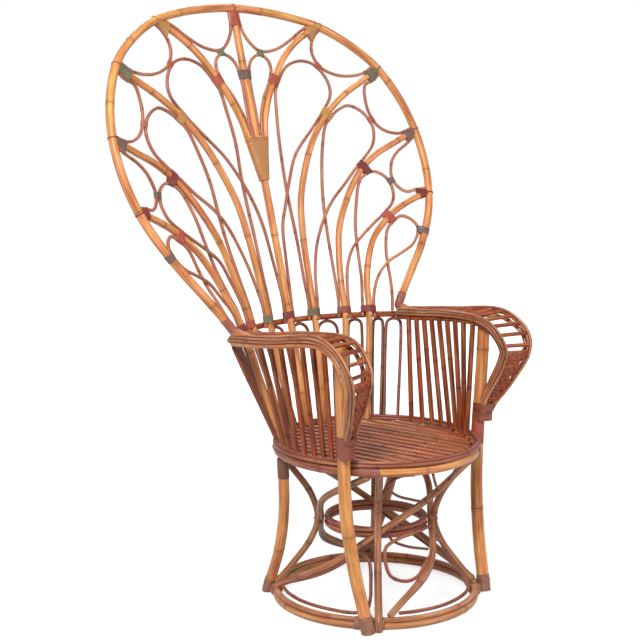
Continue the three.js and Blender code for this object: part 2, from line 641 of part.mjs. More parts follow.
for (const [word, turn] of [["left", mirrored], ["right", (point) => point.clone()]]) {
  const outer = smooth(outerPoints.map(turn));
  const inner = smooth(innerPoints.map(turn));
  const outerUnder = underPole(outerPoints.map(turn), outerPoleEndShare, poleDrop * joinShare);
  const outerPole = solid(tube(outerUnder, armPoleRadius, poleSides, underPoleSteps));
  add("arm_outer_rail_" + word, armRail(outerPoints.map(turn)).add(outerPole), tawny);

  let innerRail = armRail(innerPoints.map(turn));
  for (let i = 0; i < rungCount; i++) {
    const share = rungShares[0] + ((rungShares[1] - rungShares[0]) * i) / (rungCount - 1);
    const from = inner.getPointAt(share);
    const to = outer.getPointAt(share);
    const across = to.clone().sub(from).normalize();
    to.addScaledVector(across, -(armRailWidth / 2 + besideGap + looseFit));
    innerRail = innerRail.add(solid(stick(from, to, rungRadius, rungSides)));
  }
  add("arm_inner_rail_" + word, innerRail, tawny);

  const poleCurve = underPole(innerPoints.map(turn), innerPoleEndShare, poleDrop + fitGap);
  let side = solid(tube(poleCurve, armPoleRadius, poleSides, underPoleSteps));
  slatFootAngles.forEach((angle, i) => {
    const share = i / (slatFootAngles.length - 1);
    const head = poleCurve.getPointAt(slatHeadShares[0] + (slatHeadShares[1] - slatHeadShares[0]) * share);
    const foot = rimFoot(word === "right" ? angle : -angle);
    side = side.add(solid(stick(head, foot, slatRadius, caneSides)).subtract(belowRim));
  });
  add("arm_slats_" + word, side, dark);
  add("arm_weave_" + word, weave(inner, outer), dark);

  const legCurve = smooth(frontLegPoints.map(turn));
  const leg = solid(tube(legCurve, legRadius, poleSides, legSteps));
  const legRoom = solid(tube(legCurve, legRadius + fitGap, poleSides, legSteps));
  const coped = leg.subtract(seatRoom).subtract(rimRoom).subtract(footRingRoom);
  add("front_leg_" + word, coped.subtract(belowFloor), golden);

  const ends = [outerPoints[outerPoints.length - 1], innerPoints[innerPoints.length - 1]].map(turn);
  const legHigh = curveAtHeight(legCurve, ends[0].z).point;
  const centre = ends[0].clone().add(ends[1]).add(legHigh).divideScalar(ends.length + 1);
  const head = new THREE.Vector3(centre.x, centre.y, ends[0].z + wrapHeight / 2);
  const foot = new THREE.Vector3(legHigh.x, legHigh.y, rimTop + fitGap);
  const wide = new THREE.Vector2(armRailWidth + legRadius + wrapWall * 2, legRadius * 2);
  const narrow = new THREE.Vector2(legRadius + wrapWall, legRadius + wrapWall);
  let wrap = sleeve(foot, head, narrow, wide, poleSides);
  wrap = wrap.subtract(legRoom).subtract(rimRoom);
  for (const points of [outerPoints, innerPoints]) {
    wrap = wrap.subtract(armRail(points.map(turn), looseFit));
  }
  add("arm_wrap_" + word, largest(wrap), russet);
}

// Base. A back leg runs from under the seat's pole to the outside of the foot ring. An entry is the angle
// back of the side, a share of that way out, and a share of the seat's height.
const backLegShares = [
  [27.2, -0.114, 0.97], [29.3, -0.274, 0.82], [32.2, -0.401, 0.66], [36.7, -0.353, 0.48],
  [41.5, -0.041, 0.3], [46.3, 0.474, 0.15], [49.1, 0.975, 0.02], [49.5, 1.055, -0.02],
];
const backLegOut = footRingRadius + footRingHalfWidth + backLegRadius - seatRadius;
const backLegPoints = backLegShares.map(([angle, outShare, heightShare]) =>
  polar(seatRadius + outShare * backLegOut, angle, heightShare * seatPoleHeight));
for (const [word, turn] of [["left", mirrored], ["right", (point) => point]]) {
  const leg = solid(tube(smooth(backLegPoints.map(turn)), backLegRadius, poleSides, legSteps));
  add("back_leg_" + word, leg.subtract(seatRoom).subtract(footRingRoom).subtract(belowFloor), golden);
}

const footRing = ring(footRingRadius, footRingHalfHeight, footRingHalfWidth, footRingHalfHeight);
add("base_ring", footRing, tawny);
add("waist_ring", ring(waistRadius, waistHeight, waistHalfWidth, waistHalfHeight), tawny);

// The poles' heights are shares of the way from the foot ring to the seat's pole, and their reaches are
// shares of the way out from the waist to the foot ring.
const turnedReach = waistRadius + waistHalfWidth + turnedPoleRadius + fitGap;
const baseRise = seatPoleFoot - footRingTop;
const turnedSweep = 2 * (poleTurn - turnedSkew); // degrees
const turnedShares = [
  { angle: 0, reach: 0.98, height: 1 },
  { angle: 0.25, reach: 0.33, height: 0.74 },
  { angle: 0.5, reach: 0, height: 0.5 },
  { angle: 0.75, reach: 0.33, height: 0.26 },
  { angle: 1, reach: 1, height: -0.03 },
];
const curvedReach = turnedReach + curvedPoleRadius;
const curvedShares = [[0.98, 1.02], [0.62, 0.88], [0.16, 0.68], [0, 0.5], [0.16, 0.34], [0.62, 0.14]];
const ringFootShares = [[1.04, -0.04]];
const floorFootShares = [[1.1, 0], [1.19, -0.06], [1.23, -0.1]];
const floorPole = 2; // the curved pole nearest the front left stands on the floor, outside the ring
const turnedCurves = [];
for (let i = 0; i < poleCount; i++) {
  const points = turnedShares.map(({ angle, reach, height }) => polar(
    turnedReach + (footRingRadius - turnedReach) * reach,
    firstPoleAngle + poleTurn * i - turnedSkew - turnedSweep * angle,
    footRingTop + baseRise * height,
  ));
  turnedCurves.push(smooth(points));
}
const ringRooms = seatRoom.add(footRingRoom);
let turnedRoom = null;
const turnedSteps = 15;
const curvedSteps = 12;
turnedCurves.forEach((curve, i) => {
  const pole = solid(tube(curve, turnedPoleRadius, ribSides, turnedSteps));
  add("turned_pole_" + (i + 1), largest(pole.subtract(ringRooms)), tawny);
  const room = solid(tube(curve, turnedPoleRadius + fitGap, ribSides, turnedSteps));
  turnedRoom = turnedRoom ? turnedRoom.add(room) : room;
});
let curvedRoom = null;
for (let i = 0; i < poleCount; i++) {
  const shares = [...curvedShares, ...(i === floorPole ? floorFootShares : ringFootShares)];
  const points = shares.map(([reach, height]) => polar(
    curvedReach + (footRingRadius - curvedReach) * reach,
    firstPoleAngle + poleTurn * i,
    footRingTop + baseRise * height,
  ));
  const curve = smooth(points);
  const pole = solid(tube(curve, curvedPoleRadius, ribSides, curvedSteps));
  const cut = pole.subtract(ringRooms).subtract(turnedRoom).subtract(belowFloor);
  add("curved_pole_" + (i + 1), largest(cut), russet);
  const room = solid(tube(curve, curvedPoleRadius + fitGap, ribSides, curvedSteps));
  curvedRoom = curvedRoom ? curvedRoom.add(room) : room;
}

// Thin canes looped in the openings of the base. An entry is an angle from the curved pole beside it, and
// the same two shares as the poles'.
const droopShares = [
  [78, 0.039, 0.468], [65, -0.016, 0.475], [52, -0.016, 0.4775], [37, -0.005, 0.473], [22, 0.028, 0.4595],
  [8, 0.083, 0.406], [6.5, 0.183, 0.333], [10, 0.359, 0.226], [20.5, 0.437, 0.187], [31, 0.415, 0.201],
  [44, 0.282, 0.265], [59.8, 0.2, 0.318],
];
const sweepShares = [
  [-19, 0.094, 0.383], [-13, 0.161, 0.366], [-7.5, 0.238, 0.327], [-5.6, 0.337, 0.26], [-5, 0.514, 0.181],
  [-5, 0.702, 0.097], [-7, 0.834, 0.03], [-14, 0.867, 0.007], [-30, 0.867, 0.002], [-50, 0.867, -0.004],
  [-66, 0.867, -0.01], [-78, 0.878, 0.007],
];
const loops = [
  { shares: droopShares, pole: floorPole },
  { shares: sweepShares, pole: floorPole },
  { shares: sweepShares, pole: floorPole + 1 },
];
const loopSteps = 19;
loops.forEach(({ shares, pole }, i) => {
  const points = shares.map(([angle, reach, height]) => polar(
    turnedReach + (footRingRadius - turnedReach) * reach,
    firstPoleAngle + poleTurn * pole + angle,
    footRingTop + baseRise * height,
  ));
  const cane = solid(tube(smooth(points), trimRadius, caneSides, loopSteps));
  const cut = cane.subtract(turnedRoom).subtract(curvedRoom).subtract(ringRooms);
  add("base_loop_" + (i + 1), largest(cut), russet);
});

// The part's origin is the middle of its box, on the floor.
const box = new THREE.Box3().setFromObject(chair);
const middle = box.getCenter(new THREE.Vector3());
chair.position.set(-middle.x, -middle.y, -box.min.z);

export default chair;
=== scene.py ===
# The looks of a peacock chair of bent cane, built round its fixed frame. Metres, +Z up, sitter faces -Y.
import itertools
import math

import bpy
import numpy as np
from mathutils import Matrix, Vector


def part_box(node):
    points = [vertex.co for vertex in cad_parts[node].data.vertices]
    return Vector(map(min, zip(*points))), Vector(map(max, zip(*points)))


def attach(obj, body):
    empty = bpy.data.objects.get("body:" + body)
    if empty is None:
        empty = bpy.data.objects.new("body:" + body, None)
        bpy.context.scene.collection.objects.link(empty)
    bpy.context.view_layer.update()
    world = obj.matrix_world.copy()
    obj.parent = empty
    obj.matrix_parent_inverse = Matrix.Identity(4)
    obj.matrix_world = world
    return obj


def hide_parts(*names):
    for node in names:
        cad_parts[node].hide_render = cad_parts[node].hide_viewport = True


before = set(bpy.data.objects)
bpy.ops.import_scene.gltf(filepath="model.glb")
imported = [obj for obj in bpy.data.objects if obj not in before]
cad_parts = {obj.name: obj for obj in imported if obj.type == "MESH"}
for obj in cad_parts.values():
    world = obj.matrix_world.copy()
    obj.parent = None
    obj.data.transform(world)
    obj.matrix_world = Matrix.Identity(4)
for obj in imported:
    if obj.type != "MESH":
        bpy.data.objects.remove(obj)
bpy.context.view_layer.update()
rng = np.random.default_rng(7)

# Places taken from the frame. Pieces are drawn about the seat's centre line and then shifted to it.
ring_low, ring_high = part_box("seat_ring")
seat_centre = np.array([(ring_low.x + ring_high.x) / 2, (ring_low.y + ring_high.y) / 2, 0])

# Sizes, as in the frame
clear = 0.0003  # a hair's breadth that keeps two pieces apart
mirror = np.array([-1, 1, 1])
hands = ("left", "right")
seat_pole_radius = 0.012
seat_radius = (ring_high.x - ring_low.x) / 2 - seat_pole_radius / math.cos(math.pi / 8)
seat_pole_height = (ring_low.z + ring_high.z) / 2
rim_base = ring_high.z + clear
rim_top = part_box("seat_rim")[1].z
foot_sink = 0.012
rail_height = rim_top + 0.28
fan_rise = 0.822
fan_half_width = 0.545
fan_depth = seat_radius + 0.0687
fan_slope = math.tan(math.radians(15.25))
bow_half_width = 0.5
top_bow_depth = 0.06
rail_bow_depth = 0.337
bow_fade_height = 0.17
hoop_radius = 0.011
rib_radii = [0.01, 0.009, 0.009, 0.009, 0.009, hoop_radius]
hoop_side = 5
cane_radius = 0.0045
beside_gap = 0.0009
back_rail_radius = 0.008
rail_level = rail_height - 0.015
rail_depth = hoop_radius + back_rail_radius + clear
arm_spread = 0.09
arm_overhang = 0.102
arm_height = 0.311
arm_rail_half_width = 0.009
arm_pole_radius = 0.0072
arm_setback = 0.007
rung_radius = 0.0052
arm_slat_radius = 0.0068
leg_radius = 0.016
back_leg_radius = 0.014
foot_ring_radius = seat_radius + 0.005
foot_ring_half_width = 0.01
foot_ring_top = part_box("base_ring")[1].z
waist_radius = 0.126
waist_half_width = 0.008
waist_pole_radius = 0.0075
waist_height = (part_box("waist_ring")[0].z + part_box("waist_ring")[1].z) / 2
turned_radius = 0.0088
curved_radius = 0.0085
trim_radius = 0.0046
floor_clearance = 0.0004


def centripetal(points, samples=14):
    """A smooth line through the points, as many short straight runs."""
    p = np.array(points, float)
    p = np.vstack([2 * p[0] - p[1], p, 2 * p[-1] - p[-2]])
    t = np.linspace(0, 1, samples, endpoint=False)[:, None]
    runs = []
    for a, b, c, d in zip(p, p[1:], p[2:], p[3:]):
        before, here, after = (np.linalg.norm(v) ** 0.5 for v in (b - a, c - b, d - c))
        leave = ((b - a) / before - (c - a) / (before + here) + (c - b) / here) * here
        arrive = ((c - b) / here - (d - b) / (here + after) + (d - c) / after) * here
        square = 3 * (c - b) - 2 * leave - arrive
        cube = 2 * (b - c) + leave + arrive
        runs.append(b + leave * t + square * t**2 + cube * t**3)
    runs.append(p[-2][None])
    return np.vstack(runs)


class Path:
    """A line that can be read by its length."""

    def __init__(self, points, smooth=True):
        self.line = centripetal(points) if smooth and len(points) > 2 else np.array(points, float)
        steps = np.linalg.norm(np.diff(self.line, axis=0), axis=1)
        self.marks = np.concatenate([[0], np.cumsum(steps)])
        self.length = self.marks[-1]

    def at(self, length):
        return np.stack([np.interp(length, self.marks, self.line[:, k]) for k in range(3)], axis=-1)

    def share(self, share):
        return self.at(share * self.length)

    def tangent(self, length, reach=0.002):
        ahead = self.at(np.minimum(length + reach, self.length))
        way = ahead - self.at(np.maximum(length - reach, 0))
        return way / np.linalg.norm(way, axis=-1, keepdims=True)

    def at_height(self, height):
        """The length at which a falling line passes a height."""
        return float(np.interp(-height, -self.line[:, 2], self.marks))

    def near(self, place):
        return float(self.marks[np.argmin(np.linalg.norm(self.line - place, axis=1))])

    def mirrored(self):
        return Path(self.line * mirror, smooth=False)

    def part(self, start, end):
        stops = np.linspace(start, end, max(3, int(abs(end - start) / 0.004)))
        return Path(self.at(stops), smooth=False)


def polar(radius, angle, height):
    turn = math.radians(angle)
    return np.array([radius * math.cos(turn), radius * math.sin(turn), height])


def flip(path, word):
    return path.mirrored() if word == "left" else path


def flip_place(place, word):
    return place * mirror if word == "left" else place


# The fan is a leaning sheet that bows forward at its sides, most of all near its foot.
def fan_bow(height):
    share = math.exp(-max(height - rail_height, 0) / bow_fade_height)
    return (top_bow_depth + (rail_bow_depth - top_bow_depth) * share) / bow_half_width**2


def fan_point(x, height, lift=0.0):
    slope = 2 * fan_bow(height) * x
    size = math.hypot(slope, 1)
    y = fan_depth + fan_slope * (height - rail_height) - fan_bow(height) * x * x
    return np.array([x - lift * slope / size, y - lift / size, height])


# Below the rail, straight lines run from the fan to the seat's rim.
gate_shares = [[0, 0], [0.154, 13], [0.316, 27], [0.429, 41], [0.502, 50.5], [0.575, 61]]


def gate_angle(share):
    return float(np.interp(share, [g[0] for g in gate_shares], [g[1] for g in gate_shares]))


def rim_foot(angle):
    return polar(seat_radius, 90 - angle, rim_top - foot_sink)


def curtain(share, angle, height, lift=0.0):
    head = fan_point(share * fan_half_width, rail_height)
    slope = 2 * fan_bow(rail_height) * head[0]
    size = math.hypot(slope, 1)
    foot = rim_foot(angle)
    way = (rail_height - height) / (rail_height - foot[2])
    point = head + (foot - head) * way
    return np.array([point[0] - lift * slope / size, point[1] - lift / size, height])


def fan_at(entry):
    """The place of an entry: its shares of the fan's half width and of its rise, and at times a lift."""
    x_share, height_share, lift = (*entry, 0.0)[:3]
    height = rail_height + height_share * fan_rise
    if height_share < 0:
        return curtain(x_share, gate_angle(x_share), height, lift)
    return fan_point(x_share * fan_half_width, height, lift)


hoop_shares = [
    [0, 1], [0.233, 0.99], [0.394, 0.973], [0.541, 0.948], [0.723, 0.886], [0.862, 0.808],
    [0.958, 0.698], [1, 0.594], [1.002, 0.482], [0.971, 0.387], [0.912, 0.302], [0.807, 0.203],
    [0.716, 0.134], [0.633, 0.071], [0.58, 0.029], [0.56, 0], [0.556, -0.015],
]
rib_shares = [
    [[0, 1], [0, 0.8], [0, 0.5], [0, 0.2], [0, 0]],
    [[0.541, 0.949], [0.411, 0.909], [0.29, 0.849], [0.196, 0.774], [0.118, 0.693], [0.075, 0.627],
     [0.057, 0.573], [0.04, 0.529]],
    [[0.862, 0.807], [0.75, 0.764], [0.611, 0.713], [0.486, 0.651], [0.369, 0.568], [0.279, 0.47],
     [0.212, 0.365], [0.182, 0.251], [0.165, 0.109], [0.154, 0]],
    [[1, 0.591], [0.866, 0.551], [0.723, 0.507], [0.598, 0.445], [0.483, 0.352], [0.407, 0.265],
     [0.365, 0.172], [0.332, 0.068], [0.316, 0]],
    [[0.969, 0.377], [0.881, 0.359], [0.767, 0.325], [0.695, 0.294], [0.591, 0.236], [0.517, 0.161],
     [0.466, 0.082], [0.429, 0]],
]
rib_feet = [0, None, 13, 27, 41]  # degrees round the rim from straight behind
rib_names = ["rib_centre", "rib_crown", "rib_upper", "rib_middle", "rib_lower"]

hoop_half = [fan_at(entry) for entry in hoop_shares]
hoop_foot = hoop_half[-2]
tail_steps = [[0, -0.01, 0.004], [0, -0.03, 0.001], [0.001, -0.058, -0.003]]
bent_half = hoop_half[:-2] + [fan_at([0.563, 0.012])] + [hoop_foot + step for step in tail_steps]
hoop_path = Path([point * mirror for point in bent_half[:0:-1]] + bent_half)
rib_paths = []
for shares, foot in zip(rib_shares, rib_feet):
    points = [fan_at(entry) for entry in shares]
    rib_paths.append(Path(points if foot is None else points + [rim_foot(foot)]))
rib_paths.append(Path(hoop_half))


def at_rise(path, share):
    """The length at which a line passes a share of the fan's rise."""
    return path.at_height(rail_height + share * fan_rise)


def beside(rib, at, side, lift=0.0):
    """A point beside a rib: side 1 is away from the chair's middle, side -1 towards it."""
    path = rib_paths[rib]
    length = at_rise(path, at)
    point, direction = path.at(length), path.tangent(length)
    apart = side * (rib_radii[rib] + cane_radius + beside_gap)
    size = math.hypot(direction[0], direction[2])
    shift = point - fan_point(point[0], point[2])
    x = point[0] - apart * direction[2] / size
    return fan_point(x, point[2] + apart * direction[0] / size, lift) + shift


def route(entries):
    """A line through places on the fan. An entry in round brackets is beside a rib."""
    return Path([beside(*entry) if isinstance(entry, tuple) else fan_at(entry) for entry in entries])


rail_share = -0.024  # of the fan's rise, level with the rail
against = cane_radius - hoop_radius  # lies back against the rail
over = cane_radius + clear  # passes in front at a crossing
scallop_routes = [
    [(0, 0.995, 1), [0.034, 0.935], [0.055, 0.905], [0.09, 0.878], [0.134, 0.861], [0.239, 0.869],
     (1, 0.89, -1), (1, 0.915, -1), (1, 0.936, -1)],
    [[0.556, 0.943], [0.508, 0.92], [0.474, 0.886], [0.47, 0.849], [0.506, 0.81], [0.593, 0.785],
     [0.688, 0.781], (2, 0.777, -1), (2, 0.8, -1)],
    [[0.872, 0.795], [0.825, 0.768], (2, 0.764, 1), [0.747, 0.707], [0.75, 0.657], [0.782, 0.612],
     [0.829, 0.59], (3, 0.566, -1), [0.995, 0.603]],
    [[1, 0.578], [0.93, 0.545], [0.862, 0.517], [0.815, 0.484], [0.79, 0.43], [0.81, 0.397],
     [0.85, 0.381], [0.905, 0.388], [0.968, 0.392]],
]
petal_routes = [
    [(0, 0.585, 1), (0, 0.66, 1), (0, 0.77, 1), [0.044, 0.815], [0.078, 0.84],
     [0.134, 0.849], [0.176, 0.826], (1, 0.775, -1), (1, 0.7, -1), (1, 0.655, -1),
     (1, 0.62, -1, 0.003), (1, 0.575, -1, 0.007)],
    [(0, rail_share, 1, against), (0, 0.055, 1), [0.046, 0.189], [0.066, 0.291],
     [0.101, 0.355, over], [0.156, 0.434, over], [0.239, 0.521], [0.369, 0.6], (2, 0.66, -1),
     [0.532, 0.715], [0.534, 0.759], [0.475, 0.815], [0.387, 0.831], [0.288, 0.813],
     (1, 0.785, 1), (1, 0.745, 1), [0.167, 0.669], [0.147, 0.566], [0.143, 0.45, -over],
     [0.141, 0.38, -over], [0.138, 0.243], [0.134, 0.122], (2, 0.03, -1),
     (2, rail_share, -1, against)],
    [(2, rail_share, 1, against), (2, 0.04, 1), [0.211, 0.133], [0.255, 0.219],
     [0.327, 0.304, over], [0.398, 0.359, over], [0.505, 0.415], (3, 0.452, -1),
     (3, 0.485, -1), [0.732, 0.548], [0.754, 0.605], [0.716, 0.653], [0.635, 0.679],
     [0.569, 0.667], (2, 0.655, 1), (2, 0.625, 1), [0.42, 0.547], [0.376, 0.445],
     [0.352, 0.341, -over], [0.338, 0.255, -over], [0.317, 0.136], (3, 0.03, -1),
     (3, rail_share, -1, against)],
    [(3, rail_share, 1, against), (3, 0.055, 1), [0.398, 0.142], [0.451, 0.202, over],
     [0.517, 0.238, over], [0.62, 0.284], (4, 0.302, -1), [0.758, 0.355], [0.774, 0.401],
     [0.752, 0.434], [0.69, 0.453], (3, 0.45, 1), (3, 0.425, 1), [0.541, 0.342],
     [0.505, 0.263, -over], [0.478, 0.18, -over], [0.449, 0.1], (4, 0.045, -1),
     (4, rail_share, -1, against)],
    [(4, rail_share, 1, against), (4, 0.05, 1), [0.539, 0.109], [0.609, 0.152, over],
     [0.705, 0.184, over], [0.77, 0.207], (hoop_side, 0.245, -1), [0.818, 0.285], [0.77, 0.3],
     (4, 0.286, 1), [0.664, 0.249], [0.631, 0.195, -over], [0.606, 0.141, -over],
     [0.583, 0.091], (hoop_side, 0.03, -1), (hoop_side, -0.012, -1)],
]
scallop_paths = [route(entries) for entries in scallop_routes]
petal_paths = [route(entries) for entries in petal_routes]

rail_shares = [0, 0.1, 0.2, 0.3, 0.4, 0.48, 0.53, 0.566]
rail_half = [curtain(share, gate_angle(share), rail_level, -rail_depth) for share in rail_shares]
rail_path = Path([point * mirror for point in rail_half[:0:-1]] + rail_half)

# An arm's entry is three shares from the front post's place at the rim: of the arm's spread outwards,
# of its overhang backwards, and of its height.
outer_rail_shares = [
    [1.011, 2.032, 0.934], [1, 1.281, 0.96], [0.932, 0.781, 0.984], [0.901, 0.258, 1],
    [0.943, -0.129, 0.991], [0.977, -0.538, 0.932], [1, -0.811, 0.859], [0.962, -0.971, 0.76],
    [0.878, -0.993, 0.683], [0.788, -0.937, 0.6], [0.666, -0.816, 0.513], [0.545, -0.689, 0.427],
    [0.401, -0.532, 0.33], [0.285, -0.36, 0.241], [0.2, -0.27, 0.166],
]
inner_rail_shares = [
    [0.212, 2.145, 0.929], [0.079, 1.554, 0.953], [-0.035, 0.94, 0.969], [-0.137, 0.326, 0.976],
    [-0.129, -0.084, 0.962], [-0.091, -0.357, 0.929], [-0.061, -0.538, 0.885], [-0.031, -0.709, 0.819],
    [-0.008, -0.816, 0.756], [0.022, -0.857, 0.694], [0.011, -0.807, 0.624], [-0.011, -0.699, 0.53],
    [-0.041, -0.564, 0.443], [-0.062, -0.413, 0.354], [-0.09, -0.284, 0.26], [-0.113, -0.241, 0.166],
]
front_leg_shares = [
    [26.4, 1.563, 0.948], [26.7, 1.393, 0.577], [27.2, 1.16, 0.248], [27.4, 1.019, 0.006],
    [27.6, 0.976, -0.13], [28.7, 0.892, -0.346], [31, 0.877, -0.523], [33.7, 0.933, -0.69],
    [37.3, 1.076, -0.857], [40.05, 1.234, -1],
]
back_leg_shares = [
    [27.2, -0.114, 0.97], [29.3, -0.274, 0.82], [32.2, -0.401, 0.66], [36.7, -0.353, 0.48],
    [41.5, -0.041, 0.3], [46.3, 0.474, 0.15], [49.1, 0.975, 0.02], [49.4, 1.02, 0],
]
post = polar(seat_radius + seat_pole_radius + leg_radius, -27.5, rim_top)
arm_sizes = np.array([arm_spread, arm_overhang, arm_height])
hoop_flank = hoop_radius + arm_rail_half_width + 2 * clear


def arm_path(side, shares):
    start = hoop_foot + [side * hoop_flank, -arm_setback, 0]
    return Path([start] + [post + np.array(entry) * arm_sizes for entry in shares])


outer_rail = arm_path(1, outer_rail_shares)
inner_rail = arm_path(-1, inner_rail_shares)


def leg_point(angle, out, rise):
    radius = seat_radius + out * (seat_pole_radius + leg_radius)
    return polar(radius, -angle, rim_top + rise * (arm_height if rise > 0 else rim_top))


leg_path = Path([leg_point(*entry) for entry in front_leg_shares])
back_leg_out = foot_ring_radius + foot_ring_half_width + back_leg_radius - seat_radius
back_leg_path = Path([
    polar(seat_radius + out * back_leg_out, angle, height * seat_pole_height)
    for angle, out, height in back_leg_shares
])


def new_object(name, data):
    made = bpy.data.objects.new(name, data)
    bpy.context.scene.collection.objects.link(made)
    return made


joint_reach = 0.03  # how far from a growth joint its looks reach
joint_swell = 0.05
swell_reach = 0.005


class Canes:
    """Tubes, slats and windings that are gathered into one mesh."""

    def __init__(self):
        self.vertices, self.faces = [], []
        self.grain, self.joint, self.tone = [], [], []
        self.count = 0

    def add(self, rings, grain, joint, tone, closed=False):
        """Rings of points are joined into a skin, and its two ends are closed."""
        steps, sides = rings.shape[:2]
        rings = rings.reshape(-1, 3)
        first = self.count
        last = steps if closed else steps - 1
        for i in range(last):
            here = first + i * sides
            there = first + ((i + 1) % steps) * sides
            for j in range(sides):
                k = (j + 1) % sides
                self.faces.append((here + j, here + k, there + k, there + j))
        self.vertices.append(rings)
        self.grain.append(grain.reshape(-1, 3))
        self.joint.append(np.repeat(joint, sides))
        self.tone.append(np.full(len(rings), tone))
        self.count += len(rings)
        if not closed:
            self.faces.append(tuple(range(first + sides - 1, first - 1, -1)))
            end = first + (steps - 1) * sides
            self.faces.append(tuple(range(end, end + sides)))

    def tube(self, path, radius, sides=12, step=0.005, spacing=0.2, tone=None, swell=joint_swell,
             closed=False, taper=0.0):
        """A round cane with growth joints, slightly swollen at each."""
        tone = rng.uniform(-1, 1) if tone is None else tone
        joints = joint_places(path.length, spacing)
        stops = cane_stops(path.length, joints, step, radius, closed)
        centres = path.at(stops)
        across, up = cross_directions(centres, closed)
        away = joint_distance(stops, joints)
        waver = 1 + 0.018 * np.sin(stops * 31 + rng.uniform(0, 6)) * np.sin(stops * 12.7 + rng.uniform(0, 6))
        sizes = radius * waver * (1 + swell * np.exp(-((away / swell_reach) ** 2)))
        sizes *= 1 - taper * stops / path.length
        if not closed:
            sizes[[0, -1]] *= 0.74
        turns = np.linspace(0, 2 * math.pi, sides, endpoint=False)
        cos, sin = np.cos(turns)[None, :, None], np.sin(turns)[None, :, None]
        skin = sizes[:, None, None] * (cos * across[:, None] + sin * up[:, None])
        rings = centres[:, None] + skin
        self.add(rings, grain_of(turns, stops), away, tone, closed)

    def slat(self, start, end, up, half_width, thickness, tone=None, flank=0.0):
        """A split cane: flat below, round above. Its lower flanks may be darkened, a painted shade for the
        shadowed gaps beside it.
        """
        tone = rng.uniform(-1, 1) if tone is None else tone
        length = float(np.linalg.norm(end - start))
        joints = joint_places(length, 0.26)
        stops = cane_stops(length, joints, 0.012, half_width, False)
        way = (end - start) / length
        across = np.cross(way, up)
        profile = [(-1, 0.0), (-0.96, 0.38)]
        profile += [(math.sin(turn), math.cos(turn) ** 0.9) for turn in np.linspace(-1.2, 1.2, 11)]
        profile += [(0.96, 0.38), (1, 0.0)]
        away = joint_distance(stops, joints)
        rings = []
        for stop, near in zip(stops, away):
            grow = 1 + joint_swell * math.exp(-((near / swell_reach) ** 2))
            end_share = 0.8 if stop in (stops[0], stops[-1]) else 1
            centre = start + way * stop
            rings.append([centre + across * x * half_width * grow * end_share
                          + up * z * thickness * grow * end_share for x, z in profile])
        turns = np.linspace(0, 2 * math.pi, len(profile), endpoint=False)
        # Painted shade: the low part of each flank is darkened, as the gaps between slats lie in shadow.
        painted_gap_shade = [flank * max(0.0, 1 - z / 0.62) for _, z in profile]
        self.add(np.array(rings), grain_of(turns, stops), away, tone + np.tile(painted_gap_shade, len(stops)))

    def build(self, name, material, slot, replaced=()):
        mesh = bpy.data.meshes.new(name)
        places = np.vstack(self.vertices) + seat_centre
        places[:, 2] = np.maximum(places[:, 2], floor_clearance)
        mesh.from_pydata(places.tolist(), [], self.faces)
        grain = mesh.attributes.new("grain", "FLOAT_VECTOR", "POINT")
        grain.data.foreach_set("vector", np.vstack(self.grain).astype(np.float32).ravel())
        for word, values in (("joint", self.joint), ("tone", self.tone)):
            attribute = mesh.attributes.new(word, "FLOAT", "POINT")
            attribute.data.foreach_set("value", np.concatenate(values).astype(np.float32))
        mesh.shade_smooth()
        mesh.validate()
        piece = new_object(name, mesh)
        mesh.materials.append(material)
        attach(piece, "root")
        if replaced:
            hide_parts(*replaced)


def cane_piece(name, material, slot, nodes, lines, radius, sides=12, tone=None, **sizes):
    """A piece of round canes, one along each line. A list of tones gives each cane its own."""
    canes = Canes()
    for line, own in zip(lines, tone if isinstance(tone, list) else itertools.repeat(tone)):
        canes.tube(line, radius, sides, tone=own, **sizes)
    canes.build(name, material, slot, nodes)


def joint_places(length, spacing):
    """Where a cane's growth joints are, with the uneven spacing of a plant."""
    places = []
    at = rng.uniform(0.15, 0.95) * spacing
    while at < length - 0.01:
        places.append(at)
        at += spacing * rng.uniform(0.78, 1.3)
    return np.array(places)


def joint_distance(stops, joints):
    """How far each stop is from its nearest joint."""
    if not len(joints):
        return np.full(len(stops), joint_reach)
    return np.minimum(np.min(np.abs(stops[:, None] - joints[None]), axis=1), joint_reach)


def cane_stops(length, joints, step, radius, closed):
    """The lengths at which a cane has a ring of points: evenly, and closer at each joint and end."""
    count = max(2, int(round(length / step)))
    stops = set(np.round(np.linspace(0, length, count + 1), 5).tolist())
    for joint in joints:
        for shift in (-0.006, -0.003, 0, 0.003, 0.006):
            if 0 < joint + shift < length:
                stops.add(round(float(joint + shift), 5))
    if closed:
        stops.discard(round(length, 5))
    else:
        stops.add(round(radius * 0.3, 5))
        stops.add(round(length - radius * 0.3, 5))
    ordered = sorted(stops)
    kept = [ordered[0]]
    for stop in ordered[1:]:
        if stop - kept[-1] > 0.0008:
            kept.append(stop)
    return np.array(kept)


def cross_directions(centres, closed):
    """Two directions square to a line at each of its points, carried along it without a twist."""
    if closed:
        way = np.roll(centres, -1, axis=0) - np.roll(centres, 1, axis=0)
    else:
        way = np.gradient(centres, axis=0)
    way /= np.linalg.norm(way, axis=1, keepdims=True)
    start = np.array([0, 0, 1.0]) if abs(way[0][2]) < 0.8 else np.array([0, 1.0, 0])
    across = np.zeros_like(way)
    carried = start
    for i, along in enumerate(way):
        carried = carried - np.dot(carried, along) * along
        carried /= np.linalg.norm(carried)
        across[i] = carried
    return across, np.cross(way, across)


def grain_of(turns, stops):
    """Where each point of a skin lies on its cane: round it, and along it, from a place of its own."""
    shift = rng.uniform(0, 60, 3)
    grain = np.zeros((len(stops), len(turns), 3))
    grain[:, :, 0] = np.cos(turns)[None] + shift[0]
    grain[:, :, 1] = np.sin(turns)[None] + shift[1]
    grain[:, :, 2] = stops[:, None] + shift[2]
    return grain


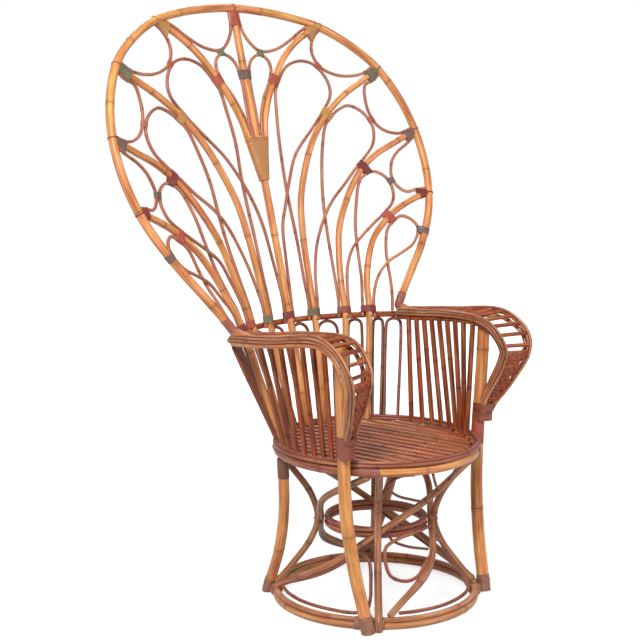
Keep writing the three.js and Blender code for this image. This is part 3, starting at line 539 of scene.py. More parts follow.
def winding(canes, main, radius, centre, length, others=(), pitch=0.0026, skin=0.0011, sides=30,
            members_at=None, reach=0.034, pinch=((0, 1), (1, 1))):
    """A flat cane wound tightly round a pole and the canes that lie beside it.

    The pinch says how far these are drawn in: places along the winding, and the share left at each.
    """
    start = max(centre - length / 2, 0.0)
    end = min(centre + length / 2, main.length)
    count = max(8, int((end - start) / pitch * 5))
    stops = np.linspace(start, end, count)
    turns = np.linspace(0, 2 * math.pi, sides, endpoint=False)
    found = {}
    rings = []
    for stop in stops:
        place, along = main.at(stop), main.tangent(stop)
        hint = np.array([0, 1.0, 0]) if abs(along[1]) < 0.8 else np.array([0, 0, 1.0])
        side = np.cross(along, hint)
        side /= np.linalg.norm(side)
        rise = np.cross(side, along)
        members = [(0.0, 0.0, radius)]
        share = (stop - start) / (end - start)
        if members_at:
            members = members_at(share)
        for index, (path, thickness) in enumerate(others):
            crossing = crossing_place(path, place, along, reach)
            if crossing is not None:
                crossing = crossing * float(np.interp(share, *pinch))
                found[index] = (float(np.dot(crossing, side)), float(np.dot(crossing, rise)), thickness)
            if index in found:
                members.append(found[index])
        edge = min(1.0, min(stop - start, end - stop) / 0.0006 + 0.25)
        ring = []
        for turn in turns:
            cos, sin = math.cos(turn), math.sin(turn)
            x, z, size = max(members, key=lambda m: m[0] * cos + m[1] * sin + m[2])
            ridge = abs(math.sin(math.pi * (stop / pitch + turn / (2 * math.pi))))
            size += skin * edge * (0.45 + 0.55 * ridge**0.7)
            ring.append(place + side * (x + size * cos) + rise * (z + size * sin))
        rings.append(ring)
    canes.add(np.array(rings), grain_of(turns, stops), np.full(count, joint_reach), rng.uniform(-1, 1))


def crossing_place(path, place, along, reach):
    """Where a cane passes through the plane that is square to a pole at a place, seen from that place."""
    away = path.line - place
    depth = away @ along
    close = np.linalg.norm(away, axis=1) < reach
    passes = np.nonzero((depth[:-1] * depth[1:] <= 0) & close[:-1] & close[1:])[0]
    if not len(passes):
        return None
    best = min(passes, key=lambda i: np.linalg.norm(away[i]))
    share = depth[best] / (depth[best] - depth[best + 1] + 1e-12)
    return away[best] + (away[best + 1] - away[best]) * share


# Materials
def srgb(red, green, blue):
    """A colour as a screen shows it, 0 to 255, in the linear values that a shader takes."""
    shares = [value / 255 for value in (red, green, blue)]
    linear = [s / 12.92 if s <= 0.04045 else ((s + 0.055) / 1.055) ** 2.4 for s in shares]
    return (*linear, 1)


class Nodes:
    """The node tree of a material or of the world."""

    def __init__(self, owner):
        owner.use_nodes = True
        self.owner = owner
        self.tree = owner.node_tree

    def feed(self, socket, value):
        """Links what another node gives to a socket, or sets a plain value there."""
        if isinstance(value, bpy.types.NodeSocket):
            self.tree.links.new(value, socket)
        else:
            socket.default_value = value

    def node(self, kind, inputs=None, **settings):
        made = self.tree.nodes.new("ShaderNode" + kind)
        for key, value in settings.items():
            setattr(made, key, value)
        for key, value in (inputs or {}).items():
            self.feed(made.inputs[key], value)
        return made

    def attribute(self, word, output="Fac"):
        return self.node("Attribute", attribute_name=word).outputs[output]

    def noise(self, vector, scales, detail=2.0, roughness=0.55):
        scaled = self.node("VectorMath", {0: vector, 1: scales}, operation="MULTIPLY").outputs[0]
        inputs = {"Vector": scaled, "Scale": 1.0, "Detail": detail, "Roughness": roughness}
        return self.node("TexNoise", inputs).outputs[0]

    def maths(self, operation, first, second):
        return self.node("Math", {0: first, 1: second}, operation=operation).outputs[0]

    def ramp(self, factor, stops):
        made = self.node("ValToRGB", {"Fac": factor})
        ramp = made.color_ramp
        ramp.elements[0].position, ramp.elements[0].color = stops[0]
        ramp.elements[1].position, ramp.elements[1].color = stops[-1]
        for position, colour in stops[1:-1]:
            ramp.elements.new(position).color = colour
        return made.outputs[0]

    def span(self, value, low, high, to_low, to_high):
        inputs = {"Value": value, "From Min": low, "From Max": high, "To Min": to_low, "To Max": to_high}
        return self.node("MapRange", inputs).outputs[0]

    def spread(self, noise, low, high):
        """A noise keeps to 0.3 to 0.7 for the most part, and this spreads that over a range."""
        return self.span(noise, 0.3, 0.7, low, high)

    def mix(self, factor, first, second):
        return self.node("Mix", {0: factor, 6: first, 7: second}, data_type="RGBA").outputs[2]

    def shade(self, values):
        """Gives the material's shader its values."""
        for word, value in values.items():
            self.feed(self.tree.nodes["Principled BSDF"].inputs[word], value)


def cane_material(name, dark, middle, light, ring, tone_spread=0.18, roughness=0.42, coat=0.15):
    """Varnished cane: streaks along it, cloudy patches, a dark ring at each growth joint."""
    dark, middle, light, ring = (srgb(*colour) for colour in (dark, middle, light, ring))
    made = Nodes(bpy.data.materials.new(name))
    grain = made.attribute("grain", "Vector")
    joint, tone = made.attribute("joint"), made.attribute("tone")
    streaks = made.noise(grain, (2.6, 2.6, 7.0), detail=4.0, roughness=0.62)
    patches = made.noise(grain, (0.7, 0.7, 11.0))
    fine = made.noise(grain, (9.0, 9.0, 45.0), detail=3.0, roughness=0.6)
    cloud = made.maths("ADD", made.maths("MULTIPLY", streaks, 0.6), made.maths("MULTIPLY", patches, 0.4))
    colour = made.ramp(cloud, [(0.36, dark), (0.5, middle), (0.64, light)])
    shade = made.maths("ADD", made.maths("MULTIPLY", tone, tone_spread), 1.0)
    shade = made.maths("ADD", shade, made.spread(fine, -0.09, 0.09))
    hue = made.spread(made.noise(grain, (0.3, 0.3, 5.0)), 0.488, 0.512)
    toned = made.node("HueSaturation", {"Hue": hue, "Value": shade, "Color": colour}).outputs[0]
    wobble = made.maths("ADD", joint, made.spread(fine, -0.0007, 0.0007))
    line = made.span(wobble, 0.0006, 0.002, 0.7, 0.0)
    halo = made.span(joint, 0.002, 0.012, 0.22, 0.0)
    height = made.maths("SUBTRACT", made.maths("MULTIPLY", fine, 0.5), line)
    bump = made.node("Bump", {"Height": height, "Strength": 0.45, "Distance": 0.0005})
    made.shade({
        "Base Color": made.mix(line, made.mix(halo, toned, ring), ring), "Normal": bump.outputs[0],
        "Roughness": made.spread(streaks, roughness - 0.07, roughness + 0.1),
        "Coat Weight": coat, "Coat Roughness": 0.25, "Specular IOR Level": 0.35,
    })
    return made.owner


def winding_material(name, colour, pale):
    """Flat dyed cane: each turn a little different, with fine fibres along it."""
    colour, pale = srgb(*colour), srgb(*pale)
    made = Nodes(bpy.data.materials.new(name))
    grain, tone = made.attribute("grain", "Vector"), made.attribute("tone")
    turns = made.noise(grain, (0.9, 0.9, 330.0), detail=1.0)
    fibres = made.noise(grain, (1.6, 1.6, 2400.0))
    wear = made.noise(grain, (3.0, 3.0, 160.0), detail=3.0, roughness=0.65)
    base = made.mix(made.spread(turns, 0.0, 0.55), colour, pale)
    base = made.mix(made.span(wear, 0.56, 0.74, 0.0, 0.6), base, pale)
    shade = made.maths("ADD", made.maths("MULTIPLY", tone, 0.12), 1.0)
    shade = made.maths("ADD", shade, made.spread(fibres, -0.14, 0.14))
    toned = made.node("HueSaturation", {"Value": shade, "Color": base}).outputs[0]
    bump = made.node("Bump", {"Height": fibres, "Strength": 0.3, "Distance": 0.0003})
    made.shade({"Base Color": toned, "Roughness": made.spread(wear, 0.4, 0.62), "Coat Weight": 0.12,
                "Normal": bump.outputs[0]})
    return made.owner


def metal_material(name, colour, rust):
    made = Nodes(bpy.data.materials.new(name))
    place = made.node("TexCoord").outputs["Object"]
    spots = made.noise(place, (900.0, 900.0, 900.0), detail=3.0)
    stained = made.mix(made.span(spots, 0.45, 0.7, 0.0, 0.8), srgb(*colour), srgb(*rust))
    made.shade({"Base Color": stained, "Metallic": 0.85, "Roughness": made.spread(spots, 0.3, 0.6)})
    return made.owner


golden = cane_material("golden_pole", (160, 92, 46), (210, 136, 76), (238, 174, 112), (116, 62, 30),
                       roughness=0.4, coat=0.18)
tawny = cane_material("tawny_pole", (114, 66, 44), (170, 110, 76), (210, 150, 108), (70, 38, 26),
                      tone_spread=0.16)
ring_cane = cane_material("ring_cane", (146, 88, 54), (192, 126, 80), (222, 164, 114), (92, 50, 32))
arm_cane = cane_material("arm_cane", (112, 60, 38), (162, 102, 68), (214, 160, 120), (76, 40, 28))
russet = cane_material("russet_cane", (132, 72, 50), (178, 108, 80), (212, 144, 110), (92, 46, 32),
                       tone_spread=0.12)
brick = cane_material("brick_cane", (102, 38, 18), (158, 72, 36), (204, 120, 70), (66, 28, 16))
umber = cane_material("umber_cane", (84, 42, 32), (126, 72, 52), (166, 106, 80), (54, 28, 22),
                      tone_spread=0.14)
wine = cane_material("wine_cane", (84, 40, 28), (124, 62, 42), (158, 92, 60), (56, 26, 18))
dark_slat = cane_material("dark_slat", (80, 30, 12), (142, 62, 26), (194, 106, 52), (52, 22, 12),
                          tone_spread=0.24)
seat_cane = cane_material("seat_cane", (112, 50, 26), (164, 86, 48), (208, 132, 84), (74, 34, 22),
                          roughness=0.38, coat=0.3)
rim_cane = cane_material("rim_cane", (110, 58, 42), (154, 86, 62), (192, 126, 96), (80, 44, 34))
winding_tones = {
    "straw": ((188, 126, 72), (216, 156, 98)), "green": ((98, 96, 68), (134, 128, 98)),
    "maroon": ((112, 38, 38), (148, 68, 58)), "red": ((158, 64, 46), (186, 98, 72)),
    "tan": ((172, 118, 62), (200, 150, 92)), "grey": ((98, 74, 66), (138, 112, 98)),
    "pink": ((170, 96, 72), (198, 128, 98)), "mauve": ((150, 84, 70), (180, 112, 90)),
    "rust": ((136, 66, 44), (166, 94, 64)), "umber": ((100, 58, 44), (136, 88, 68)),
    "clay": ((132, 86, 60), (182, 134, 104)),
}
winding_colours = {word: winding_material(word + "_winding", *pair) for word, pair in winding_tones.items()}
nail_metal = metal_material("nail_metal", (150, 128, 104), (96, 62, 44))

# Fan
cane_piece("fan_hoop", golden, "golden_pole", ["hoop"], [hoop_path], hoop_radius, 16, 0.35,
           step=0.006, spacing=0.24)
for rib, (name, path) in enumerate(zip(rib_names, rib_paths)):
    run = path.part(hoop_radius * 0.6, path.length)
    for node, line in [(f"{name}_{word}", flip(run, word)) for word in hands] if rib else [(name, run)]:
        cane_piece("fan_" + node, golden, "golden_pole", [node], [line], rib_radii[rib], 14,
                   rng.uniform(-0.3, 0.6), spacing=0.22)
for kind, paths in (("scallop", scallop_paths), ("petal", petal_paths)):
    for i, path in enumerate(paths):
        for word in hands:
            node = f"{kind}_{i + 1}_{word}"
            cane_piece("fan_" + node, russet, "russet_cane", [node], [flip(path, word)], cane_radius, 10,
                       step=0.0045, spacing=0.17)

# Rail and arches
rail_end = 0.004
arch_bite = 0.001
arch_stops = [0, 0.07, 0.25, 0.5, 0.75, 0.93, 1]
arch_ribs = [rib_radii[0], rib_radii[2], rib_radii[3], rib_radii[4], 0, 0]
arch_top = rail_level - back_rail_radius - cane_radius + arch_bite
arch_foot = rim_top - foot_sink


def arch_path(index):
    near, far = gate_shares[index - 1], gate_shares[index]
    aside = [radius + cane_radius + beside_gap if radius else cane_radius for radius in arch_ribs]
    shares = [near[0] + aside[index - 1] / fan_half_width, far[0] - aside[index] / fan_half_width]
    angles = [near[1] + math.degrees(aside[index - 1] / seat_radius),
              far[1] - math.degrees(aside[index] / seat_radius)]
    rise = (shares[1] - shares[0]) * fan_half_width / 2

    def spot(across, height):
        lean = -rail_depth * (height - arch_foot) / (rail_level - arch_foot)
        share = shares[0] + (shares[1] - shares[0]) * across
        return curtain(share, angles[0] + (angles[1] - angles[0]) * across, height, lean)

    points = [spot(0, arch_foot)]
    for across in arch_stops:
        bend = math.sqrt(max(0.0, 1 - (2 * across - 1) ** 2))
        points.append(spot(across, arch_top - rise * (1 - bend)))
    return Path(points + [spot(1, arch_foot)])


cane_piece("back_rail_pole", brick, "russet_cane", ["back_rail"],
           [rail_path.part(rail_end, rail_path.length - rail_end)], back_rail_radius, 14, 0.2)
arches = [flip(arch_path(index), word) for index in range(1, len(gate_shares)) for word in hands]
cane_piece("back_rail_arches", wine, "russet_cane", ["back_rail"], arches, cane_radius, 10, spacing=0.15)


# Seat
def ring_path(radius, height, start=0.0):
    stops = np.radians(np.linspace(start, start + 360, 181))
    line = np.stack([radius * np.cos(stops), radius * np.sin(stops), np.full(181, height)], axis=1)
    return Path(line, smooth=False)


seat_pole_path = ring_path(seat_radius, seat_pole_height)
brown_from, brown_to = 45, 222  # degrees: this much of the seat's pole is a brown cane


def along_ring(path, angle):
    return path.length * (angle % 360) / 360


stops = [along_ring(seat_pole_path, angle) for angle in np.linspace(brown_to, brown_from + 360, 120)]
golden_part = Path(seat_pole_path.at(np.array(stops)), smooth=False)
brown_part = seat_pole_path.part(*(along_ring(seat_pole_path, angle) for angle in (brown_from, brown_to)))
cane_piece("seat_pole", golden, "golden_pole", ["seat_ring"], [golden_part], seat_pole_radius, 16, 0.3,
           spacing=0.23)
cane_piece("seat_pole_brown", rim_cane, "golden_pole", ["seat_ring"], [brown_part], seat_pole_radius, 16,
           -0.2, spacing=0.26)
rim_cane_radius = 0.0044
rim_places = ((0.0085, 0.0042), (-0.0006, 0.0046), (0.0042, 0.0116))  # outwards, and above the pole
rim_lines = (ring_path(seat_radius + aside, rim_base + above, rng.uniform(0, 360))
             for aside, above in rim_places)  # made one by one, between the random draws of the canes
cane_piece("seat_rim_canes", rim_cane, "russet_cane", ["seat_rim"], rim_lines, rim_cane_radius, 10,
           spacing=0.16, closed=True)

slat_pitch = 0.0315
slats_aside = 7
slat_half_width = 0.0102
slat_thickness = 0.0071
slat_end_gap = 0.006
slat_turn = 8  # degrees
batten_rows = (-0.136, 0, 0.136)
batten_half_width = 0.009
batten_thickness = 0.008
batten_end = seat_radius - seat_pole_radius - 0.004
tie_half_length = 0.0042
tie_proud = 0.0008
upward = np.array([0, 0, 1.0])


def askew(x, y):
    """A place on the seat, whose slats are turned a little."""
    return polar(math.hypot(x, y), math.degrees(math.atan2(y, x)) + slat_turn, rim_base)


seat_ties = []
canes = Canes()
for i in range(-slats_aside, slats_aside + 1):
    x = i * slat_pitch + rng.uniform(-0.0004, 0.0004)
    half = math.sqrt((seat_radius - slat_end_gap) ** 2 - (abs(x) + slat_half_width) ** 2)
    # flank=-4.2 darkens each slat's lower flanks: painted shade in the gaps between slats.
    canes.slat(askew(x, -half), askew(x, half), upward, slat_half_width, slat_thickness, flank=-4.2)
    seat_ties += [(x, y) for y in batten_rows if half > abs(y) + 0.02]
for y in batten_rows:
    half = math.sqrt(batten_end**2 - (abs(y) + batten_half_width) ** 2)
    canes.slat(askew(-half, y), askew(half, y), -upward, batten_half_width, batten_thickness, tone=-2.4)
canes.build("seat_slats_canes", seat_cane, "dark_slat", ["seat_slats"])
canes = Canes()
for x, y in seat_ties:
    ends = [askew(x, y + shift) for shift in (-tie_half_length, tie_half_length)]
    canes.slat(*ends, upward, slat_half_width * 1.04, slat_thickness + tie_proud)
canes.build("seat_ties", winding_colours["pink"], "straw_binding")


# Arms
def between_rails(share):
    """The place on each rail at a share of its length, and the directions across and under them."""
    a, b = inner_rail.share(share), outer_rail.share(share)
    across = (b - a) / np.linalg.norm(b - a)
    under = np.cross(across, inner_rail.tangent(share * inner_rail.length))
    return a, b, across, under / np.linalg.norm(under)


gather_from = 0.86  # the share of a rail's length from which its canes draw together
gather_share = 0.4


def rail_canes(on_outer, aside, below, end=1.0):
    """A cane that follows one of the arm's rails, aside from the other rail and below it."""
    points = []
    for share in np.linspace(0, end, 70):
        a, b, across, under = between_rails(share)
        gather = 1 - gather_share * max(0, share - gather_from) / (1 - gather_from)
        away = across * aside if on_outer else across * -aside
        points.append((b if on_outer else a) + (away + under * below) * gather)
    return Path(points, smooth=False)


inner_pole = Path([inner_rail.share(share) - [0, 0, 0.0153] for share in np.linspace(0.03, 0.505, 7)])
rung_shares = np.linspace(0.06, 0.69, 14)
slat_foot_angles = [69, 76.5, 83.5, 90.5, 97.5, 103.5, 108.5, 112.5, 116]
slat_head_shares = np.linspace(0.1, 0.975, len(slat_foot_angles))
strand_radius = 0.0036
strand_places = [(0, -0.004), (0.0046, 0.0022), (-0.0046, 0.0024), (0.0064, 0.0088)]  # aside and below
strand_tones = [0.6, -0.1, -0.6, 0.3]
curl_place = (-0.001, 0.0182)
outer_strands = [rail_canes(True, *place) for place in strand_places]
inner_strands = [rail_canes(False, *place) for place in strand_places]
outer_curl = rail_canes(True, *curl_place, end=0.97)
inner_curl = rail_canes(False, *curl_place, end=0.95)
rung_sink = 0.001
rungs = []
for share in rung_shares:
    a, b, across, under = between_rails(share)
    rungs.append(Path([a + under * rung_sink, b + under * rung_sink], smooth=False))
arm_slats = [Path([inner_pole.share(share), rim_foot(angle)], smooth=False)
             for share, angle in zip(slat_head_shares, slat_foot_angles)]


def weave_lines():
    """Close canes across the arm's foot, and flat ones woven along it, over and under in turn."""
    rows = 29
    first, last = 0.715, 0.955
    across_lines = []
    for i, share in enumerate(np.linspace(first, last, rows)):
        a, b, across, under = between_rails(share)
        slit = across * (0.017 if i % 8 in (4, 5, 6) else 0)
        across_lines.append(Path([a, b - slit], smooth=False))
    along_lines = []
    count = 5
    for strand in range(count):
        points = []
        for i in range((rows - 1) * 4 + 1):
            a, b, across, under = between_rails(first + (last - first) * i / (4 * rows - 4))
            wave = 0.0034 * math.cos(math.pi * (i / 8 + strand))
            points.append(a + (b - a) * (strand + 0.9) / (count + 0.8) + under * wave)
        along_lines.append(Path(points, smooth=False))
    return across_lines, along_lines


def paired_piece(word, name, material, slot, node, lines, *sizes, **more):
    """A piece of the left or the right side. Its lines are given as they are on the right."""
    lines = [flip(line, word) for line in lines]
    cane_piece(f"{name}_{word}", material, slot, [f"{node}_{word}"], lines, *sizes, **more)


stake_radius = 0.0026
weaver_radius = 0.0017
weave_across, weave_along = weave_lines()
for word in hands:
    paired_piece(word, "arm_outer_canes", arm_cane, "tawny_pole", "arm_outer_rail", outer_strands,
                 strand_radius, 10, strand_tones, spacing=0.17)
    paired_piece(word, "arm_outer_pole", golden, "tawny_pole", "arm_outer_rail", [outer_curl],
                 arm_pole_radius, tone=-0.6, taper=0.35)
    paired_piece(word, "arm_inner_canes", arm_cane, "tawny_pole", "arm_inner_rail", inner_strands,
                 strand_radius, 10, strand_tones, spacing=0.17)
    paired_piece(word, "arm_rungs", brick, "tawny_pole", "arm_inner_rail", rungs, rung_radius, 10,
                 spacing=0.3, swell=0.08)
    canes = Canes()
    canes.tube(flip(inner_curl, word), arm_pole_radius * 0.94, taper=0.3)
    for line in arm_slats:
        canes.tube(flip(line, word), arm_slat_radius)
    canes.build("arm_slats_canes_" + word, dark_slat, "dark_slat", ["arm_slats_" + word])
    paired_piece(word, "arm_weave_across", brick, "dark_slat", "arm_weave", weave_across, stake_radius, 8,
                 spacing=0.4)
    paired_piece(word, "arm_weave_along", brick, "dark_slat", "arm_weave", weave_along, weaver_radius, 8,
                 step=0.002, spacing=0.4)
    paired_piece(word, "front_post", golden, "golden_pole", "front_leg", [leg_path], leg_radius, 18, 0.2,
                 spacing=0.19)
    # The right back post takes the darker tawny cane as painted shade, since it stands in shadow behind the
    # middle of the base. The left one is golden.
    back_cane = golden if word == "left" else tawny
    paired_piece(word, "back_post", back_cane, "golden_pole", "back_leg", [back_leg_path],
                 back_leg_radius, 16, -0.1, spacing=0.19)

# Base
turned_solid_radius = 0.008
base_rise = seat_pole_height - seat_pole_radius - foot_ring_top
turned_reach = waist_radius + waist_half_width + turned_solid_radius + clear
curved_reach = turned_reach + curved_radius
turned_skew = 6
turned_shares = [[0, 0.98, 1], [0.25, 0.33, 0.74], [0.5, 0, 0.5], [0.75, 0.33, 0.26], [1, 1, -0.03]]
curved_shares = [[0.98, 1.02], [0.62, 0.88], [0.16, 0.68], [0, 0.5], [0.16, 0.34], [0.62, 0.14]]
ring_foot_shares = [[1.0, 0.0]]
floor_foot_shares = [[1.1, 0], [1.19, -0.06], [1.215, -0.085]]
floor_pole = 2


def base_point(start, angle, reach, height):
    radius = start + (foot_ring_radius - start) * reach
    return polar(radius, angle, foot_ring_top + base_rise * height)


def turned_path(index, drop=0.0):
    points = []
    for turn, reach, height in turned_shares:
        angle = 45 + 90 * index - turned_skew - (180 - 2 * turned_skew) * turn
        point = base_point(turned_reach, angle, reach, height)
        point[2] = max(point[2] - drop, foot_ring_top + 0.002)
        points.append(point)
    return Path(points)


def curved_path(index):
    shares = curved_shares + (floor_foot_shares if index == floor_pole else ring_foot_shares)
    return Path([base_point(curved_reach, 45 + 90 * index, reach, height) for reach, height in shares])


lower_ring_radius = 0.009
upper_ring_radius = 0.0066
beside_drop = 0.0135
beside_radius = 0.0052
floor_pole_radius = 0.0098
thin_trim_radius = 0.0036
lower_ring = ring_path(foot_ring_radius, lower_ring_radius, 20)
upper_ring = ring_path(foot_ring_radius - 0.001, foot_ring_top - upper_ring_radius, 200)
waist_rings = [ring_path(waist_radius, waist_height + side * waist_pole_radius, 90 + 90 * side)
               for side in (-1, 1)]
cane_piece("foot_ring_pole", ring_cane, "tawny_pole", ["base_ring"], [lower_ring], lower_ring_radius, 14,
           -0.1, spacing=0.26, closed=True)
cane_piece("foot_ring_cane", tawny, "tawny_pole", ["base_ring"], [upper_ring], upper_ring_radius,
           spacing=0.22, closed=True)
cane_piece("waist_ring_poles", rim_cane, "tawny_pole", ["waist_ring"], waist_rings, waist_pole_radius,
           tone=0.6, closed=True)
for index in range(4):
    node = f"turned_pole_{index + 1}"
    cane_piece(node + "_cane", tawny, "tawny_pole", [node], [turned_path(index)], turned_radius, 14,
               rng.uniform(-0.6, 0.3), spacing=0.18)
    line = turned_path(index, beside_drop)
    cane_piece(node + "_beside", umber, "tawny_pole", (), [line.part(line.length * 0.5, line.length)],
               beside_radius, 10, spacing=0.17)
    node = f"curved_pole_{index + 1}"
    radius, tone = (floor_pole_radius, 0.0) if index == floor_pole else (curved_radius, -0.4)
    cane_piece(node + "_cane", tawny, "russet_cane", [node], [curved_path(index)], radius, 14, tone,
               spacing=0.18)

droop_shares = [
    [78, 0.039, 0.468], [65, -0.016, 0.475], [52, -0.016, 0.4775], [37, -0.005, 0.473],
    [22, 0.028, 0.4595], [8, 0.083, 0.406], [6.5, 0.183, 0.333], [10, 0.359, 0.226],
    [20.5, 0.437, 0.187], [31, 0.415, 0.201], [44, 0.282, 0.265], [59.8, 0.2, 0.318],
]
sweep_shares = [
    [-19, 0.094, 0.383], [-13, 0.161, 0.366], [-7.5, 0.238, 0.327], [-5.6, 0.337, 0.26],
    [-5, 0.514, 0.181], [-5, 0.702, 0.097], [-7, 0.834, 0.03], [-14, 0.867, 0.007],
    [-30, 0.867, 0.002], [-50, 0.867, -0.004], [-66, 0.867, -0.01], [-78, 0.878, 0.007],
]
for i, (shares, pole) in enumerate(((droop_shares, 2), (sweep_shares, 2), (sweep_shares, 3))):
    points = [base_point(turned_reach, 45 + 90 * pole + angle, reach, max(height, 0.012))
              for angle, reach, height in shares]
    node = f"base_loop_{i + 1}"
    cane_piece(node + "_cane", rim_cane, "russet_cane", [node], [Path(points)], trim_radius, 10,
               spacing=0.15)

# Thin canes that only trim the base. An entry is an angle, a height and a distance from the middle.
high_sweep = [[246.3, 0.38, 0.24], [237.3, 0.378, 0.238], [231.3, 0.359, 0.225], [227.5, 0.32, 0.197]]
high_branch = [[230.5, 0.342, 0.212], [239.2, 0.318, 0.196], [252.7, 0.301, 0.186],
               [265.4, 0.2875, 0.179]]
small_bow = [[259.5, 0.374, 0.235], [272.3, 0.326, 0.201], [277.8, 0.319, 0.1965], [286.2, 0.326, 0.2005],
             [281.6, 0.367, 0.231]]
low_branch = [[234.7, 0.213, 0.142], [239.5, 0.19, 0.145], [253.5, 0.172, 0.151], [279, 0.152, 0.161]]
thin_lines = [Path([polar(radius, angle, height) for angle, height, radius in entries])
              for entries in (high_sweep, high_branch, small_bow, low_branch)]
cane_piece("base_trim", umber, "russet_cane", (), thin_lines, thin_trim_radius, 10)

# Windings
wound = {word: Canes() for word in winding_colours}
petals = {word: [flip(path, word) for path in petal_paths] for word in hands}
near_scallops = [(flip(path, word), cane_radius) for path in scallop_paths for word in hands]
near_petals = [(path, cane_radius) for word in hands for path in petals[word]]
cord_skin = 0.0018  # the skin of a winding of one or two narrow turns


def wind(colour, *place, **sizes):
    winding(wound[colour], *place, **sizes)


def rib_hands(rib):
    return hands if rib else ("right",)


# Each rib's end at the hoop, with the scallops' ends beside it. An entry is the colour and length of the
# winding on the rib, and the colour of the one on the hoop.
rib_ends = [("red", 0.042, "rust"), ("tan", 0.04, "tan"), ("green", 0.04, "rust"),
            ("grey", 0.034, "rust"), ("maroon", 0.03, "maroon")]
for rib, (colour, length, hoop_colour) in enumerate(rib_ends):
    for word in rib_hands(rib):
        line = flip(rib_paths[rib], word)
        wind(colour, line, rib_radii[rib], hoop_radius * 0.7 + length / 2, length, near_scallops,
             pinch=((0, 1), (0.45, 1)))
        wind(hoop_colour, hoop_path, hoop_radius, hoop_path.near(line.at(0)), 0.0036, skin=cord_skin)

# Where the petals lie against the ribs, part of the way down. An entry is a rib and a share of the rise.
mid_ties = [
    (0, 0.782, 0.026, "grey"), (1, 0.765, 0.028, "red"), (2, 0.65, 0.026, "tan"),
    (3, 0.468, 0.024, "maroon"), (4, 0.298, 0.024, "red"),
]
for rib, at, length, colour in mid_ties:
    for word in rib_hands(rib):
        line = flip(rib_paths[rib], word)
        wind(colour, line, rib_radii[rib], at_rise(line, at), length, near_petals)

# Just above the back rail, on the ribs in their order
foot_tie_colours = {"left": [None, None, "green", "red", "maroon"],
                    "right": ["maroon", None, "green", "rust", "maroon"]}
for word, colours in foot_tie_colours.items():
    for rib, colour in enumerate(colours):
        if colour:
            line = flip(rib_paths[rib], word)
            wind(colour, line, rib_radii[rib], line.at_height(rail_height + 0.003), 0.019, near_petals)

# Where a scallop and its petal touch. An entry is the place, and the colours on the left and right.
tie_places = [(0.133, 0.855, "green", "green"), (0.5, 0.82, "red", "red"),
              (0.752, 0.63, "pink", "red"), (0.782, 0.42, "grey", "grey")]
for i, (x_share, at, *colours) in enumerate(tie_places):
    for word, colour in zip(hands, colours):
        line = flip(scallop_paths[i], word)
        place = flip_place(fan_at([x_share, at]), word)
        wind(colour, line, cane_radius, line.near(place), 0.016, [(petals[word][i], cane_radius)])

# On the hoop: at the lowest petal, over its foot, and where it bends into the arm
for word in hands:
    line = flip(rib_paths[hoop_side], word)
    wind("grey", line, hoop_radius, at_rise(line, 0.245), 0.02, [(petals[word][4], cane_radius)])
    foot = flip_place(fan_at([0.57, 0.02]), word)
    wind("mauve", hoop_path, hoop_radius, hoop_path.near(foot), 0.066)
    bend = flip_place(hoop_foot + [0, -0.012, 0.003], word)
    wind("tan", hoop_path, hoop_radius, hoop_path.near(bend), 0.006, skin=cord_skin)

# The tapered binding in the middle of the fan
middle_widths = [0.0385, 0.0135]  # half the width, at the top and the foot
middle_depth = 0.0115


def middle_members(share):
    aside = middle_widths[0] + (middle_widths[1] - middle_widths[0]) * share - middle_depth
    return [(-aside, 0, middle_depth), (aside, 0, middle_depth)]


canes = Canes()
line = rib_paths[0]
low, high = at_rise(line, 0.438), at_rise(line, 0.578)
winding(canes, line, rib_radii[0], (low + high) / 2, low - high, pitch=0.003, sides=44,
        members_at=middle_members)
for share in (0.566, 0.574):
    winding(canes, line, rib_radii[0], at_rise(line, share), 0.0016, sides=44, skin=0.0022,
            members_at=lambda at: middle_members(0.03))
canes.build("centre_winding", winding_colours["straw"], "straw_binding", ["centre_binding"])

# Where the arm's curl is bound to the front post. An entry is the heights above the rim, and the share
# of the winding at which the canes in it end.
arm_winding_spans = {"left": [0.016, 0.068, 0.24], "right": [0.027, 0.074, 0.4]}
for word, (low, high, canes_end) in arm_winding_spans.items():
    canes = Canes()
    line = flip(leg_path, word)
    members = [(flip(path, word), strand_radius) for path in outer_strands + inner_strands]
    members += [(flip(path, word), arm_pole_radius * 0.65) for path in (outer_curl, inner_curl)]
    top, bottom = line.at_height(rim_top + high), line.at_height(rim_top + low)
    winding(canes, line, leg_radius, (top + bottom) / 2, bottom - top, members, pitch=0.0034, sides=40,
            reach=0.06, pinch=((canes_end, 0.6), (1, 0.2)))
    canes.build("arm_winding_" + word, winding_colours["rust"], "russet_cane", ["arm_wrap_" + word])
for colour, rise, length in (("red", 0.012, 0.036), ("rust", -0.02, 0.03)):
    wind(colour, leg_path, leg_radius, leg_path.at_height(rim_top + rise), length)

# Where poles meet the seat's pole and stand on the foot ring
foot_ring_path = ring_path(foot_ring_radius, foot_ring_top / 2)
for index in range(4):
    angle = 45 + 90 * index
    place = along_ring(seat_pole_path, angle - 5.5)
    wind("mauve", seat_pole_path, seat_pole_radius, place, 0.05, skin=0.002)
    wind("umber", curved_path(index), curved_radius, 0.034, 0.03)
for word in hands:
    line = flip(back_leg_path, word)
    wind("umber", line, back_leg_radius, 0.026, 0.052)
    for line, radius in ((line, back_leg_radius), (flip(leg_path, word), leg_radius)):
        foot = line.at(line.length)
        wind("clay", line, radius, line.length - 0.022, 0.044, skin=0.0016)
        angle = math.degrees(math.atan2(foot[1], foot[0]))
        for side in (-1, 1):
            place = along_ring(foot_ring_path, angle + side * 6)
            wind("clay", foot_ring_path, foot_ring_top / 2, place, 0.016, sides=24)

# Nails: where a rib crosses the rail, at the waist and in the feet
nails = Canes()

nail_size = 0.0028
large_nail_size = 0.0034


